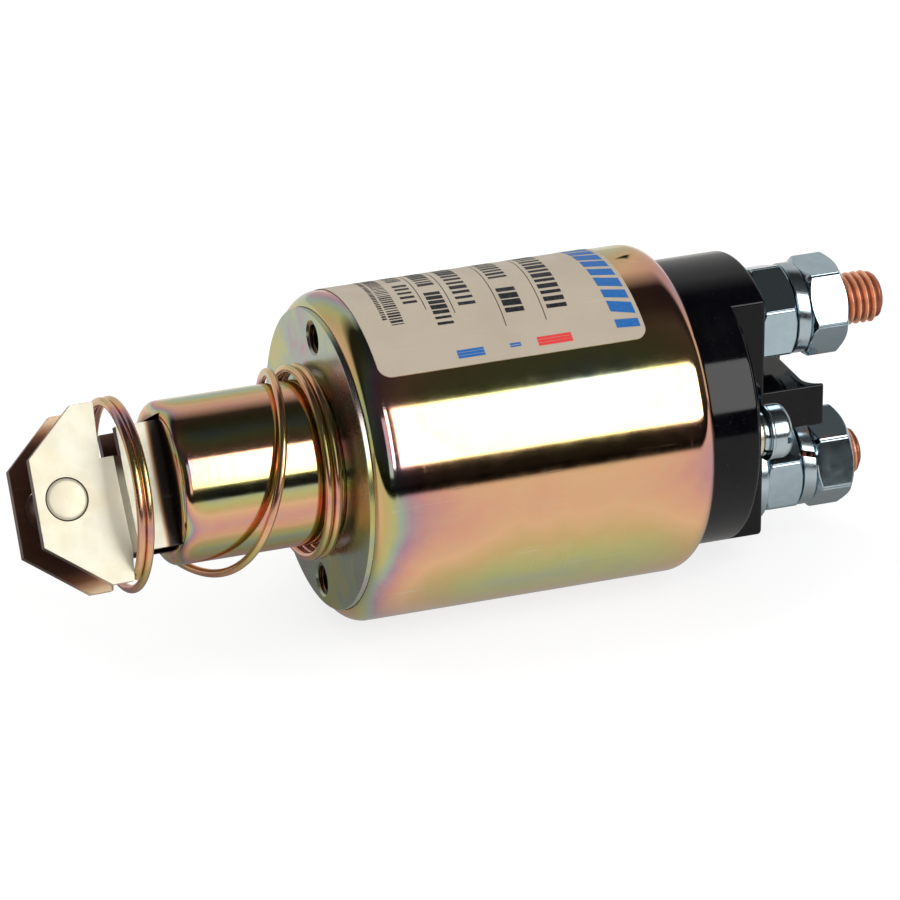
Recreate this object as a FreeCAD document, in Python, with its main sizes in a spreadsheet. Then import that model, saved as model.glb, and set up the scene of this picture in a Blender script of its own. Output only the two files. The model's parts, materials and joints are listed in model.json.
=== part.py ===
import FreeCAD
import Part
import Sketcher
import math
import os

# Starter solenoid. X runs along the axis from the plunger towards the terminals.
# The origin is the centre of the front face, which bolts to the drive housing.
# Z points up along the line through the two main studs.

# Driving dimensions, in millimetres and degrees.
SIZES = {
    # drawn steel can
    "shell_wall": 1.75,
    "shell_front": 0.8,
    "front_rim": 2.55,
    "rear_rim": 3.85,
    "shell_front_round": 3.8,
    "shell_rear_round": 4.5,
    "stake_length": 5.3,
    "stake_setback": 5.0,
    "stake_lift": 1.4,
    "stake_tip_radius": 1.45,
    "stake_end_radius": 2.7,
    # clearances shared by the pieces
    "fit_gap": 0.05,
    "can_gap": 0.1,
    "running_gap": 0.08,
    "seat_gap": 0.3,
    # front pole plate
    "plate_thickness": 9.0,
    "screw_circle": 48.0,
    "screw_hole_radius": 2.5,
    "screw_hole_depth": 7.5,
    "screw_turn": 5.0,
    # plunger and its guide sleeve
    "plunger_radius": 15.5,
    "plunger_front": 31.4,
    "plunger_rear": 20.0,
    "plunger_round": 1.9,
    "plunger_chamfer": 1.5,
    "slot_play_wide": 1.6,
    "slot_play_high": 0.55,
    "stroke": 12.0,
    "sleeve_wall": 0.5,
    "sleeve_inset": 0.6,
    # coil
    "bobbin_length": 39.6,
    "bobbin_wall": 1.0,
    "bobbin_flange": 1.5,
    "flange_lip": 0.42,
    "bobbin_gap": 0.6,
    "inner_winding_depth": 5.4,
    "outer_winding_depth": 5.2,
    "winding_gap": 0.1,
    "wrap_thickness": 0.5,
    # fixed core and rear pole plate
    "core_tail_radius": 12.0,
    "rear_plate_thickness": 5.0,
    "lead_hole_radius": 1.6,
    "lead_radius": 0.6,
    "gasket_thickness": 1.1,
    "gasket_width": 4.0,
    # end cap
    "skirt_length": 12.05,
    "cap_wall": 2.8,
    "cap_floor": 9.4,
    "cap_edge": 0.8,
    "chamber_depth": 20.7,
    "centre_pocket_radius": 7.5,
    "centre_pocket_depth": 3.5,
    "flat_margin": 0.5,
    "flat_depth": 6.9,
    "pad_height": 0.6,
    "pad_radius": 10.4,
    "barrier_half_width": 10.8,
    "barrier_gap": 1.985,
    "barrier_length": 13.0,
    "barrier_hollow": 3.1,
    "hollow_rim": 0.8,
    # main studs, nuts and washers
    "stud_spacing": 32.0,
    "stud_radius": 5.0,
    "stud_tip_round": 1.0,
    "battery_free_length": 9.1,
    "motor_free_length": 3.5,
    "head_width": 12.0,
    "head_wall_gap": 1.5,
    "head_inner_gap": 1.0,
    "head_thickness": 3.5,
    "nut_across_flats": 17.0,
    "nut_thickness": 8.0,
    "nut_chamfer": 1.2,
    "lock_washer_thickness": 2.6,
    "lock_washer_radius": 8.7,
    "lock_washer_split": 1.2,
    "trigger_washer_split": 0.6,
    "split_slant": 18.0,
    "flat_washer_thickness": 1.8,
    "flat_washer_radius": 10.2,
    "base_nut_turn": 8.0,
    "battery_nut_turn": 33.0,
    "motor_nut_turn": 44.0,
    # trigger terminal
    "insert_wall_gap": 1.4,
    "insert_radius": 3.4,
    "insert_collar_radius": 4.4,
    "insert_collar": 2.7,
    "insert_inner_collar": 1.4,
    "trigger_screw_radius": 2.4,
    "trigger_lock_thickness": 1.2,
    "trigger_washer_thickness": 0.6,
    "trigger_washer_radius": 5.4,
    "trigger_head_radius": 5.2,
    "trigger_head_thickness": 4.0,
    "trigger_head_round": 1.6,
    "trigger_slot_width": 1.3,
    "trigger_slot_depth": 1.6,
    # contact carrier
    "rod_radius": 4.0,
    "rod_collar_radius": 6.5,
    "rod_collar": 2.5,
    "rod_tail_radius": 3.0,
    "rod_lead": 3.0,
    "rod_tail_reach": 3.6,
    "contact_travel": 3.0,
    "bridge_gap": 3.5,
    "bridge_thickness": 2.5,
    "bridge_hole_radius": 5.0,
    "insulator_radius": 8.0,
    "front_insulator_flange": 2.0,
    "rear_insulator_thickness": 1.4,
    "clip_thickness": 0.8,
    "clip_radius": 5.0,
    "contact_spring_radius": 5.2,
    "contact_spring_wire": 0.6,
    "contact_turn_gap": 0.06,
    "pressure_spring_radius": 4.2,
    "pressure_spring_wire": 0.4,
    "pressure_spring_turns": 4,
    "pocket_spring_gap": 0.8,
    # clevis
    "clevis_turn": 31.5,
    "clevis_sheet": 2.0,
    "cheek_outside": 8.5,
    "neck_outside": 6.5,
    "neck_half_height": 11.8,
    "neck_depth": 9.4,
    "clevis_droop": 1.3,
    "pin_drop": 0.88,
    "pin_reach": 20.2,
    "pin_radius": 3.95,
    "pin_gap": 0.15,
    "pin_proud": 0.3,
    "cheek_front": 6.1,
    "cheek_front_slant": 0.5,
    "cheek_front_top": 8.4,
    "cheek_front_bottom": 8.1,
    "ear_inset": 0.7,
    "ear_top_front": 4.2,
    "ear_top_rear": 8.6,
    "ear_bottom_front": 5.3,
    "ear_bottom_rear": 9.5,
    "fold_start": 10.3,
    "fold_length": 2.0,
    "notch_rear": 12.4,
    "notch_front": 7.7,
    "notch_floor": 6.4,
    "rivet_radius": 2.5,
    "rivet_head_radius": 4.0,
    "rivet_head": 1.6,
    "rivet_depth": 9.0,
    "rivet_play": 0.4,
    # return spring
    "spring_gap": 1.4,
    "spring_wire": 0.8,
    "spring_seat_gap": 0.5,
    "spring_turn_gap": 0.06,
    "spring_front_turns": 1.6,
    "spring_rear_turns": 2.3,
    "spring_start_angle": 268.0,
    "spring_sag": 0.9,
    # label
    "label_gap": 0.06,
    "label_thickness": 0.12,
    "label_front": 5.3,
    "label_stake_gap": 0.5,
    "label_low_angle": 40.0,
    "label_sweep_angle": 102.0,
}


class Size:
    """A number and the formula over the sheet that gives it."""

    def __init__(self, number, formula):
        self.number = number
        self.formula = formula

    def __add__(self, other):
        return joined(self, "+", other, self.number + amount(other))

    def __sub__(self, other):
        return joined(self, "-", other, self.number - amount(other))

    def __mul__(self, other):
        return joined(self, "*", other, self.number * amount(other))

    def __truediv__(self, other):
        return joined(self, "/", other, self.number / amount(other))

    def __neg__(self):
        return Size(-self.number, f"(-{self.formula})")


def sine(angle):
    """The sine of an angle in degrees."""
    return Size(math.sin(math.radians(angle.number)), f"sin({angle.formula} * 1 deg)")


def cosine(angle):
    """The cosine of an angle in degrees."""
    return Size(math.cos(math.radians(angle.number)), f"cos({angle.formula} * 1 deg)")


def root(value):
    """The square root of a size."""
    return Size(math.sqrt(value.number), f"sqrt({value.formula})")


def amount(value):
    """The plain number of a size or of a number."""
    return value.number if isinstance(value, Size) else value


def joined(left, sign, right, number):
    """A size whose formula joins two values."""
    texts = [value.formula if isinstance(value, Size) else str(value) for value in (left, right)]
    return Size(number, f"({texts[0]} {sign} {texts[1]})")


doc = FreeCAD.newDocument("starter_solenoid")
sheet = doc.addObject("Spreadsheet::Sheet", "sizes")
for row, (alias, number) in enumerate(SIZES.items(), start=1):
    sheet.set(f"A{row}", alias)
    sheet.set(f"B{row}", str(number))
    sheet.setAlias(f"B{row}", alias)
doc.recompute()


class Sheet:
    """The sheet's cells as sizes, read by their names."""

    def __getattr__(self, alias):
        return Size(float(SIZES[alias]), f"sizes.{alias}")


s = Sheet()
ZERO = Size(0.0, "0")
X_AXIS = FreeCAD.Vector(1, 0, 0)
ALONG_X = FreeCAD.Rotation(FreeCAD.Vector(0, 1, 0), 90)
HEX_SIDES = 6
FULL_TURN = 360
HALF_TURN = 180
COIL_STEP = 20
OVERRUN = 4
finished = []


def bind(thing, name, value):
    """Tie one property to the sheet."""
    thing.setExpression(name, value.formula)


def place(thing, along=ZERO, side=ZERO, up=ZERO, turn=None, tilt=None):
    """Put a piece at its seat, turned about X by an angle or held at a fixed tilt."""
    rotation = tilt if tilt is not None else FreeCAD.Rotation(X_AXIS, amount(turn) if turn else 0)
    base = FreeCAD.Vector(amount(along), amount(side), amount(up))
    thing.Placement = FreeCAD.Placement(base, rotation)
    for axis, value in (("x", along), ("y", side), ("z", up)):
        bind(thing, f"Placement.Base.{axis}", value)
    if turn is not None:
        bind(thing, "Placement.Rotation.Angle", turn)
    return thing


def piece(thing, name):
    """Name a finished piece and keep it for writing."""
    thing.Label = name
    finished.append(thing)
    return thing


def plane_of(body, role):
    """One of a body's own origin planes."""
    return next(item for item in body.Origin.OriginFeatures if item.Role == role)


class Arc:
    """A rounding that ends at a corner, about a centre."""

    def __init__(self, centre, corner):
        self.centre = centre
        self.corner = corner


def fix_point(sketch, geometry, end, across, up):
    """Tie a point of a sketch to two sizes."""
    for kind, value, axis in (("DistanceX", across, -2), ("DistanceY", up, -1)):
        if value is ZERO:
            sketch.addConstraint(Sketcher.Constraint("PointOnObject", geometry, end, axis))
        else:
            index = sketch.addConstraint(Sketcher.Constraint(kind, geometry, end, amount(value)))
            bind(sketch, f"Constraints[{index}]", value)


def arc_between(start, end, centre):
    """The short arc between two points, and whether it runs from start to end."""
    first = math.atan2(start.y - centre.y, start.x - centre.x)
    last = math.atan2(end.y - centre.y, end.x - centre.x)
    forward = (last - first) % (2 * math.pi) < math.pi
    circle = Part.Circle(centre, FreeCAD.Vector(0, 0, 1), start.distanceToPoint(centre))
    turns = (first, last) if forward else (last, first)
    return Part.ArcOfCircle(circle, *turns), forward


def draw(body, role, outline, circles=()):
    """A sketch on one of the body's planes, of a closed outline and round holes, all tied to sizes."""
    sketch = body.newObject("Sketcher::SketchObject", body.Name + "_sketch")
    sketch.AttachmentSupport = (plane_of(body, role), [""])
    sketch.MapMode = "FlatFace"
    corners = [item.corner if isinstance(item, Arc) else item for item in outline]
    points = [FreeCAD.Vector(amount(across), amount(up), 0) for across, up in corners]
    starts = []
    ends = []
    for index in range(len(outline)):
        after = (index + 1) % len(outline)
        begin, finish, edge = points[index], points[after], outline[after]
        if isinstance(edge, Arc):
            centre = FreeCAD.Vector(amount(edge.centre[0]), amount(edge.centre[1]), 0)
            arc, forward = arc_between(begin, finish, centre)
            line = sketch.addGeometry(arc, False)
            starts.append((line, 1 if forward else 2))
            ends.append((line, 2 if forward else 1))
        else:
            line = sketch.addGeometry(Part.LineSegment(begin, finish), False)
            starts.append((line, 1))
            ends.append((line, 2))
    for index, corner in enumerate(corners):
        sketch.addConstraint(Sketcher.Constraint("Coincident", *ends[index - 1], *starts[index]))
        fix_point(sketch, *starts[index], *corner)
        after = (index + 1) % len(outline)
        if isinstance(outline[after], Arc):
            across = outline[after].centre[0]
            datum = sketch.addConstraint(
                Sketcher.Constraint("DistanceX", starts[index][0], 3, amount(across)))
            bind(sketch, f"Constraints[{datum}]", across)
    for across, up, radius in circles:
        centre = FreeCAD.Vector(amount(across), amount(up), 0)
        ring = sketch.addGeometry(Part.Circle(centre, FreeCAD.Vector(0, 0, 1), amount(radius)), False)
        fix_point(sketch, ring, 3, across, up)
        datum = sketch.addConstraint(Sketcher.Constraint("Radius", ring, amount(radius)))
        bind(sketch, f"Constraints[{datum}]", radius)
    return sketch


def turned(name, outline):
    """A body turned about X from an outline of distances along X and radii."""
    body = doc.addObject("PartDesign::Body", name)
    sketch = draw(body, "XY_Plane", outline)
    turn = body.newObject("PartDesign::Revolution", name + "_turn")
    turn.Profile = sketch
    turn.ReferenceAxis = (sketch, ["H_Axis"])
    turn.Angle = FULL_TURN
    doc.recompute()
    return body


def tube(name, length, inner, outer):
    """A plain turned ring or sleeve, drawn from its own left end."""
    return turned(name, [(ZERO, inner), (length, inner), (length, outer), (ZERO, outer)])


def add_pad(body, role, outline, length, circles=()):
    """A pad to both sides of one of the body's planes."""
    pad = body.newObject("PartDesign::Pad", body.Name + "_pad")
    pad.Profile = draw(body, role, outline, circles)
    pad.Midplane = True
    bind(pad, "Length", length)
    doc.recompute()
    return pad


def add_pocket(body, role, length, outline=(), circles=(), start=None):
    """A pocket cut towards plus X, Y or Z from a plane, which must take metal away."""
    before = body.Shape.Volume
    sketch = draw(body, role, list(outline), circles)
    if start is not None:
        bind(sketch, "AttachmentOffset.Base.z", start)
    pocket = body.newObject("PartDesign::Pocket", body.Name + "_pocket")
    pocket.Profile = sketch
    pocket.Reversed = True
    bind(pocket, "Length", length)
    doc.recompute()
    if body.Shape.Volume >= before:
        raise ValueError(f"{body.Name}: the pocket takes nothing away")
    return pocket


def rectangle(low_across, high_across, low_up, high_up):
    """The four corners of an upright rectangle."""
    return [(low_across, low_up), (high_across, low_up), (high_across, high_up), (low_across, high_up)]


def cut(name, base, tool):
    """One shape less another."""
    result = doc.addObject("Part::Cut", name)
    result.Base = base
    result.Tool = tool
    return result


def common(name, base, tool):
    """What two shapes share."""
    result = doc.addObject("Part::Common", name)
    result.Base = base
    result.Tool = tool
    return result


def fuse(name, shapes):
    """Several shapes as one."""
    result = doc.addObject("Part::MultiFuse", name)
    result.Shapes = shapes
    return result


def rod(name, radius, length):
    """A cylinder along X from its own left end."""
    cylinder = doc.addObject("Part::Cylinder", name)
    bind(cylinder, "Radius", radius)
    bind(cylinder, "Height", length)
    cylinder.Placement = FreeCAD.Placement(FreeCAD.Vector(), ALONG_X)
    return cylinder


def block(name, length, width, height, along, side, up):
    """A box with its low corner at a place."""
    box = doc.addObject("Part::Box", name)
    bind(box, "Length", length)
    bind(box, "Width", width)
    bind(box, "Height", height)
    return place(box, along, side, up)


def coil(name, wire_radius, points):
    """A round wire swept along a smooth line through the points of a coil."""
    curve = Part.BSplineCurve()
    curve.interpolate(points)
    heading = curve.tangent(curve.FirstParameter)[0]
    section = Part.Wire(Part.makeCircle(wire_radius, points[0], heading))
    wire = doc.addObject("Part::Feature", name)
    wire.Shape = Part.Wire(curve.toShape()).makePipeShell([section], True, True)
    wire.Placement = FreeCAD.Placement()
    return wire


def coil_points(first_angle, last_angle, along_at, radius_at, drop_at=lambda share: 0):
    """Points round the axis. Angles are degrees from the top towards the label's low edge."""
    steps = math.ceil(abs(last_angle - first_angle) / COIL_STEP)
    points = []
    for step in range(steps + 1):
        share = step / steps
        angle = math.radians(first_angle + (last_angle - first_angle) * share)
        radius = radius_at(share)
        up = radius * math.cos(angle) - drop_at(share)
        points.append(FreeCAD.Vector(along_at(share), -radius * math.sin(angle), up))
    return points


# Values that several pieces share.
sleeve_inner = s.plunger_radius + s.running_gap
sleeve_outer = sleeve_inner + s.sleeve_wall
bobbin_bore = sleeve_outer + s.fit_gap
bobbin_core = bobbin_bore + s.bobbin_wall
first_layer = bobbin_core + s.fit_gap
windings_outer = (first_layer + s.inner_winding_depth + s.winding_gap
                  + s.outer_winding_depth + s.winding_gap + s.wrap_thickness)
bobbin_radius = windings_outer + s.flange_lip
shell_bore = bobbin_radius + s.bobbin_gap
shell_radius = shell_bore + s.shell_wall
can_fit = shell_bore - s.can_gap
face_radius = shell_radius - s.front_rim - s.can_gap
bobbin_start = s.plate_thickness + s.seat_gap
bobbin_end = bobbin_start + s.bobbin_length
rear_plate_start = bobbin_end + s.seat_gap
rear_plate_end = rear_plate_start + s.rear_plate_thickness
cap_front = rear_plate_end + s.gasket_thickness
cap_shoulder = cap_front + s.skirt_length
shell_rear = cap_shoulder + s.can_gap + s.shell_wall
mouth_radius = shell_radius - s.rear_rim
cap_radius = mouth_radius - s.can_gap
chamber_radius = cap_radius - s.cap_wall
chamber_end = cap_front + s.chamber_depth
cap_rear = chamber_end + s.cap_floor
flat_step = cap_rear - s.flat_depth
barrier_end = cap_rear + s.barrier_length
stud_up = s.stud_spacing / 2
stud_head_front = chamber_end - s.head_thickness
head_outer = chamber_radius - s.head_wall_gap
head_inner = s.insulator_radius + s.head_inner_gap
nut_seat = cap_rear + s.pad_height
nut_corner = s.nut_across_flats / 2 / math.cos(math.pi / HEX_SIDES)
barrier_half_height = stud_up - nut_corner - s.barrier_gap
trigger_offset = chamber_radius - s.insert_collar_radius - s.insert_wall_gap
flat_offset = trigger_offset - s.trigger_washer_radius - s.flat_margin
core_front = s.plunger_rear + s.stroke + s.seat_gap
pull_in_lead_out = head_outer - s.lead_radius
trigger_lead_out = trigger_offset + s.insert_collar_radius - s.lead_radius - s.can_gap
stake_front = shell_rear - s.stake_setback - s.stake_length
spring_radius = s.plunger_radius + s.spring_gap + s.spring_wire


# Drawn steel can, its front rim curled over the pole plate and its rear rim over the cap.
front_centre = s.shell_front + s.shell_front_round
rear_centre = shell_rear - s.shell_rear_round
front_lip = shell_radius - s.shell_front_round
rear_lip = shell_radius - s.shell_rear_round
can = turned("can", [
    (s.shell_front, front_lip - s.shell_wall),
    (s.shell_front, front_lip),
    Arc((front_centre, front_lip), (front_centre, shell_radius)),
    (rear_centre, shell_radius),
    Arc((rear_centre, rear_lip), (shell_rear, rear_lip)),
    (shell_rear, rear_lip - s.shell_wall),
    (shell_rear - s.shell_wall, rear_lip - s.shell_wall),
    (shell_rear - s.shell_wall, rear_lip),
    Arc((rear_centre, rear_lip), (rear_centre, shell_bore)),
    (front_centre, shell_bore),
    Arc((front_centre, front_lip), (s.shell_front + s.shell_wall, front_lip)),
    (s.shell_front + s.shell_wall, front_lip - s.shell_wall),
])
add_pocket(can, "YZ_Plane", shell_rear, circles=[(ZERO, ZERO, mouth_radius)])
add_pocket(can, "YZ_Plane", front_centre, circles=[(ZERO, ZERO, face_radius + s.can_gap)])

# Two stakes punched into the can lock the cap, one at the top and one at the bottom.
stakes = []
for side_name, sign in (("top", 1), ("bottom", -1)):
    stake = doc.addObject("Part::Cone", f"stake_{side_name}")
    bind(stake, "Radius1", s.stake_tip_radius)
    bind(stake, "Radius2", s.stake_end_radius)
    bind(stake, "Height", s.stake_length)
    stake.Placement = FreeCAD.Placement(FreeCAD.Vector(), ALONG_X)
    bind(stake, "Placement.Base.x", stake_front)
    bind(stake, "Placement.Base.z", (shell_radius + s.stake_lift) * sign)
    stakes.append(stake)
piece(cut("housing_shell", can, fuse("stakes", stakes)), "housing_shell")

# Front pole plate, with the bore for the plunger and two blind tapped holes.
plate_bore = sleeve_outer + s.fit_gap
front_bend = s.shell_front_round - s.shell_wall - s.can_gap
face_rise = face_radius - front_lip
plate_step = front_centre - root(front_bend * front_bend - face_rise * face_rise)
plate = turned("front_plate", [
    (ZERO, plate_bore),
    (s.plate_thickness, plate_bore),
    (s.plate_thickness, can_fit),
    (front_centre, can_fit),
    Arc((front_centre, front_lip), (plate_step, face_radius)),
    (ZERO, face_radius),
])
screw_out = s.screw_circle / 2
add_pocket(plate, "YZ_Plane", s.screw_hole_depth, circles=[
    (ZERO, screw_out, s.screw_hole_radius),
    (ZERO, -screw_out, s.screw_hole_radius),
])
piece(place(plate, turn=-s.screw_turn), "front_pole_plate")

# Brass guide sleeve for the plunger.
sleeve_end = bobbin_end - s.fit_gap
sleeve = tube("sleeve", sleeve_end - s.sleeve_inset, sleeve_inner, sleeve_outer)
piece(place(sleeve, s.sleeve_inset), "plunger_guide_sleeve")

# Moulded bobbin with the two windings and their paper wrap.
far_flange = s.bobbin_length - s.bobbin_flange
bobbin = turned("bobbin", [
    (ZERO, bobbin_bore),
    (s.bobbin_length, bobbin_bore),
    (s.bobbin_length, bobbin_radius),
    (far_flange, bobbin_radius),
    (far_flange, bobbin_core),
    (s.bobbin_flange, bobbin_core),
    (s.bobbin_flange, bobbin_radius),
    (ZERO, bobbin_radius),
])
piece(place(bobbin, bobbin_start), "coil_bobbin")
winding_start = bobbin_start + s.bobbin_flange + s.fit_gap
winding_length = s.bobbin_length - (s.bobbin_flange + s.fit_gap) * 2
layer = first_layer
for name, depth in (
    ("pull_in_winding", s.inner_winding_depth),
    ("hold_in_winding", s.outer_winding_depth),
    ("winding_wrap", s.wrap_thickness),
):
    ring = tube(name + "_ring", winding_length, layer, layer + depth)
    piece(place(ring, winding_start), name)
    layer = layer + depth + s.winding_gap

# Fixed core, riveted through the rear pole plate.
core_bore = s.rod_radius + s.running_gap
core = turned("core", [
    (ZERO, core_bore),
    (rear_plate_end - core_front, core_bore),
    (rear_plate_end - core_front, s.core_tail_radius),
    (rear_plate_start - core_front, s.core_tail_radius),
    (rear_plate_start - core_front, sleeve_inner - s.fit_gap),
    (ZERO, sleeve_inner - s.fit_gap),
])
piece(place(core, core_front), "fixed_core")

rear_plate = tube("rear_plate", s.rear_plate_thickness, s.core_tail_radius + s.fit_gap, can_fit)
add_pocket(rear_plate, "YZ_Plane", s.rear_plate_thickness, circles=[
    (ZERO, -pull_in_lead_out, s.lead_hole_radius),
    (-trigger_lead_out, ZERO, s.lead_hole_radius),
])
piece(place(rear_plate, rear_plate_start), "rear_pole_plate")

gasket = tube("gasket", s.gasket_thickness, can_fit - s.gasket_width, can_fit)
piece(place(gasket, rear_plate_end), "cap_gasket")

# End cap: a moulded cup with a flat on the trigger side, stud pads and a barrier between the studs.
rear_bend = s.shell_rear_round - s.shell_wall - s.can_gap
cap_rise = cap_radius - rear_lip
cap_bend_end = rear_centre + root(rear_bend * rear_bend - cap_rise * cap_rise)
cap_shell = turned("cap_shell", [
    (cap_front, chamber_radius),
    (chamber_end, chamber_radius),
    (chamber_end, s.centre_pocket_radius),
    (chamber_end + s.centre_pocket_depth, s.centre_pocket_radius),
    (chamber_end + s.centre_pocket_depth, ZERO),
    (cap_rear, ZERO),
    (cap_rear, cap_radius - s.cap_edge),
    Arc((cap_rear - s.cap_edge, cap_radius - s.cap_edge), (cap_rear - s.cap_edge, cap_radius)),
    (cap_bend_end, cap_radius),
    Arc((rear_centre, rear_lip), (rear_centre, can_fit)),
    (cap_front, can_fit),
])
add_pocket(cap_shell, "YZ_Plane", barrier_end, start=flat_step, outline=rectangle(
    -shell_radius, -flat_offset, -shell_radius, shell_radius))

barrier = doc.addObject("PartDesign::Body", "barrier")
hollow_floor = barrier_end - s.barrier_hollow
hollow_edge = s.barrier_half_width - s.hollow_rim
hollow_flat = hollow_edge - s.barrier_hollow
add_pad(barrier, "XY_Plane", [
    (cap_rear - s.pad_height, -s.barrier_half_width),
    (barrier_end, -s.barrier_half_width),
    (barrier_end, -hollow_edge),
    Arc((barrier_end, -hollow_flat), (hollow_floor, -hollow_flat)),
    (hollow_floor, hollow_flat),
    Arc((barrier_end, hollow_flat), (barrier_end, hollow_edge)),
    (barrier_end, s.barrier_half_width),
    (cap_rear - s.pad_height, s.barrier_half_width),
], barrier_half_height * 2)

stud_bore = s.stud_radius + s.fit_gap
pads = []
drills = []
for name, sign in (("battery", 1), ("motor", -1)):
    stud_pad = rod(f"{name}_pad", s.pad_radius, s.pad_height * 2)
    pads.append(place(stud_pad, cap_rear - s.pad_height, up=stud_up * sign, tilt=ALONG_X))
    drill = rod(f"{name}_drill", stud_bore, cap_rear)
    drills.append(place(drill, chamber_end - s.cap_edge, up=stud_up * sign, tilt=ALONG_X))
insert_drill = rod("insert_drill", s.insert_radius + s.fit_gap, cap_rear)
drills.append(place(insert_drill, chamber_end - s.cap_edge, side=-trigger_offset, tilt=ALONG_X))
pad_limit = rod("pad_limit", cap_radius - s.cap_edge, barrier_end)
round_pads = common("round_pads", fuse("pads", pads), pad_limit)
cap_solid = fuse("cap_solid", [cap_shell, barrier, round_pads])
piece(cut("end_cap", cap_solid, fuse("drills", drills)), "end_cap")


def hexagon(name, flats, thickness, bore, chamfer):
    """A bored and chamfered hexagon drawn from its own left end."""
    corner = flats / 2 / math.cos(math.pi / HEX_SIDES)
    face = corner - chamfer
    edge = chamfer / 2
    blank = turned(name + "_blank", [
        (ZERO, bore),
        (thickness, bore),
        (thickness, face),
        (thickness - edge, corner),
        (edge, corner),
        (ZERO, face),
    ])
    prism = doc.addObject("Part::Prism", name + "_prism")
    prism.Polygon = HEX_SIDES
    bind(prism, "Circumradius", corner)
    bind(prism, "Height", thickness)
    prism.Placement = FreeCAD.Placement(FreeCAD.Vector(), ALONG_X)
    return common(name + "_hexagon", blank, prism)


def split_ring(name, thickness, inner, outer, split):
    """A spring lock washer with its slanting split."""
    ring = tube(name + "_ring", thickness, inner, outer)
    slot = block(name + "_slot", thickness * OVERRUN, split, outer, -thickness, -split / 2, ZERO)
    slot.Placement.Rotation = FreeCAD.Rotation(FreeCAD.Vector(0, 0, 1), amount(s.split_slant))
    bind(slot, "Placement.Rotation.Angle", s.split_slant)
    return cut(name + "_split", ring, slot)


# Main studs with their nuts and washers.
bolt_bore = s.stud_radius + s.fit_gap
nut_stack = s.nut_thickness * 2 + s.lock_washer_thickness
for name, sign, free_length, washer_room, head_low, outer_turn in (
    ("battery", 1, s.battery_free_length, ZERO, head_inner - stud_up, s.battery_nut_turn),
    ("motor", -1, s.motor_free_length, s.flat_washer_thickness, stud_up - head_outer, s.motor_nut_turn),
):
    up = stud_up * sign
    tip = nut_seat + washer_room + nut_stack + free_length
    shank = turned(f"{name}_shank", [
        (chamber_end - s.cap_edge, ZERO),
        (tip, ZERO),
        (tip, s.stud_radius - s.stud_tip_round),
        Arc((tip - s.stud_tip_round, s.stud_radius - s.stud_tip_round),
            (tip - s.stud_tip_round, s.stud_radius)),
        (chamber_end - s.cap_edge, s.stud_radius),
    ])
    head = block(f"{name}_head", s.head_thickness, s.head_width, head_outer - head_inner,
                 stud_head_front, -s.head_width / 2, head_low)
    piece(place(fuse(f"{name}_stud", [shank, head]), up=up), f"{name}_stud")
    seat = nut_seat
    if washer_room is not ZERO:
        flat_washer = tube(f"{name}_flat_ring", s.flat_washer_thickness, bolt_bore, s.flat_washer_radius)
        piece(place(flat_washer, seat, up=up), f"{name}_flat_washer")
        seat = seat + s.flat_washer_thickness
    nut = hexagon(f"{name}_base", s.nut_across_flats, s.nut_thickness, bolt_bore, s.nut_chamfer)
    piece(place(nut, seat, up=up, turn=s.base_nut_turn), f"{name}_base_nut")
    seat = seat + s.nut_thickness
    lock = split_ring(f"{name}_lock", s.lock_washer_thickness, bolt_bore, s.lock_washer_radius,
                      s.lock_washer_split)
    piece(place(lock, seat, up=up), f"{name}_lock_washer")
    seat = seat + s.lock_washer_thickness
    nut = hexagon(f"{name}_outer", s.nut_across_flats, s.nut_thickness, bolt_bore, s.nut_chamfer)
    piece(place(nut, seat, up=up, turn=outer_turn), f"{name}_outer_nut")

# Trigger terminal on the flat: a brass insert, two washers and a slotted screw with a rounded head.
side = -trigger_offset
insert_inner = chamber_end - s.insert_inner_collar
insert_end = flat_step + s.insert_collar - chamber_end + s.insert_inner_collar
insert_bore = s.trigger_screw_radius + s.fit_gap
insert = turned("insert", [
    (ZERO, insert_bore),
    (insert_end, insert_bore),
    (insert_end, s.insert_collar_radius),
    (insert_end - s.insert_collar, s.insert_collar_radius),
    (insert_end - s.insert_collar, s.insert_radius),
    (s.insert_inner_collar, s.insert_radius),
    (s.insert_inner_collar, s.insert_collar_radius),
    (ZERO, s.insert_collar_radius),
])
piece(place(insert, insert_inner, side), "trigger_terminal_insert")
trigger_seat = flat_step + s.insert_collar
trigger_lock = split_ring("trigger_lock", s.trigger_lock_thickness, insert_bore,
                          s.insert_collar_radius, s.trigger_washer_split)
piece(place(trigger_lock, trigger_seat, side), "trigger_lock_washer")
trigger_seat = trigger_seat + s.trigger_lock_thickness
trigger_washer = tube("trigger_ring", s.trigger_washer_thickness, insert_bore, s.trigger_washer_radius)
piece(place(trigger_washer, trigger_seat, side), "trigger_flat_washer")
trigger_seat = trigger_seat + s.trigger_washer_thickness
screw_low = chamber_end - trigger_seat
head_flat = s.trigger_head_radius - s.trigger_head_round
head_side = s.trigger_head_thickness - s.trigger_head_round
trigger_blank = turned("trigger_blank", [
    (screw_low, ZERO),
    (s.trigger_head_thickness, ZERO),
    (s.trigger_head_thickness, head_flat),
    Arc((head_side, head_flat), (head_side, s.trigger_head_radius)),
    (ZERO, s.trigger_head_radius),
    (ZERO, s.trigger_screw_radius),
    (screw_low, s.trigger_screw_radius),
])
driver_slot = block("driver_slot", s.trigger_slot_depth * OVERRUN, s.trigger_head_radius * 2,
                    s.trigger_slot_width, s.trigger_head_thickness - s.trigger_slot_depth,
                    -s.trigger_head_radius, -s.trigger_slot_width / 2)
piece(place(cut("trigger_screw", trigger_blank, driver_slot), trigger_seat, side), "trigger_terminal_screw")

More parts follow.
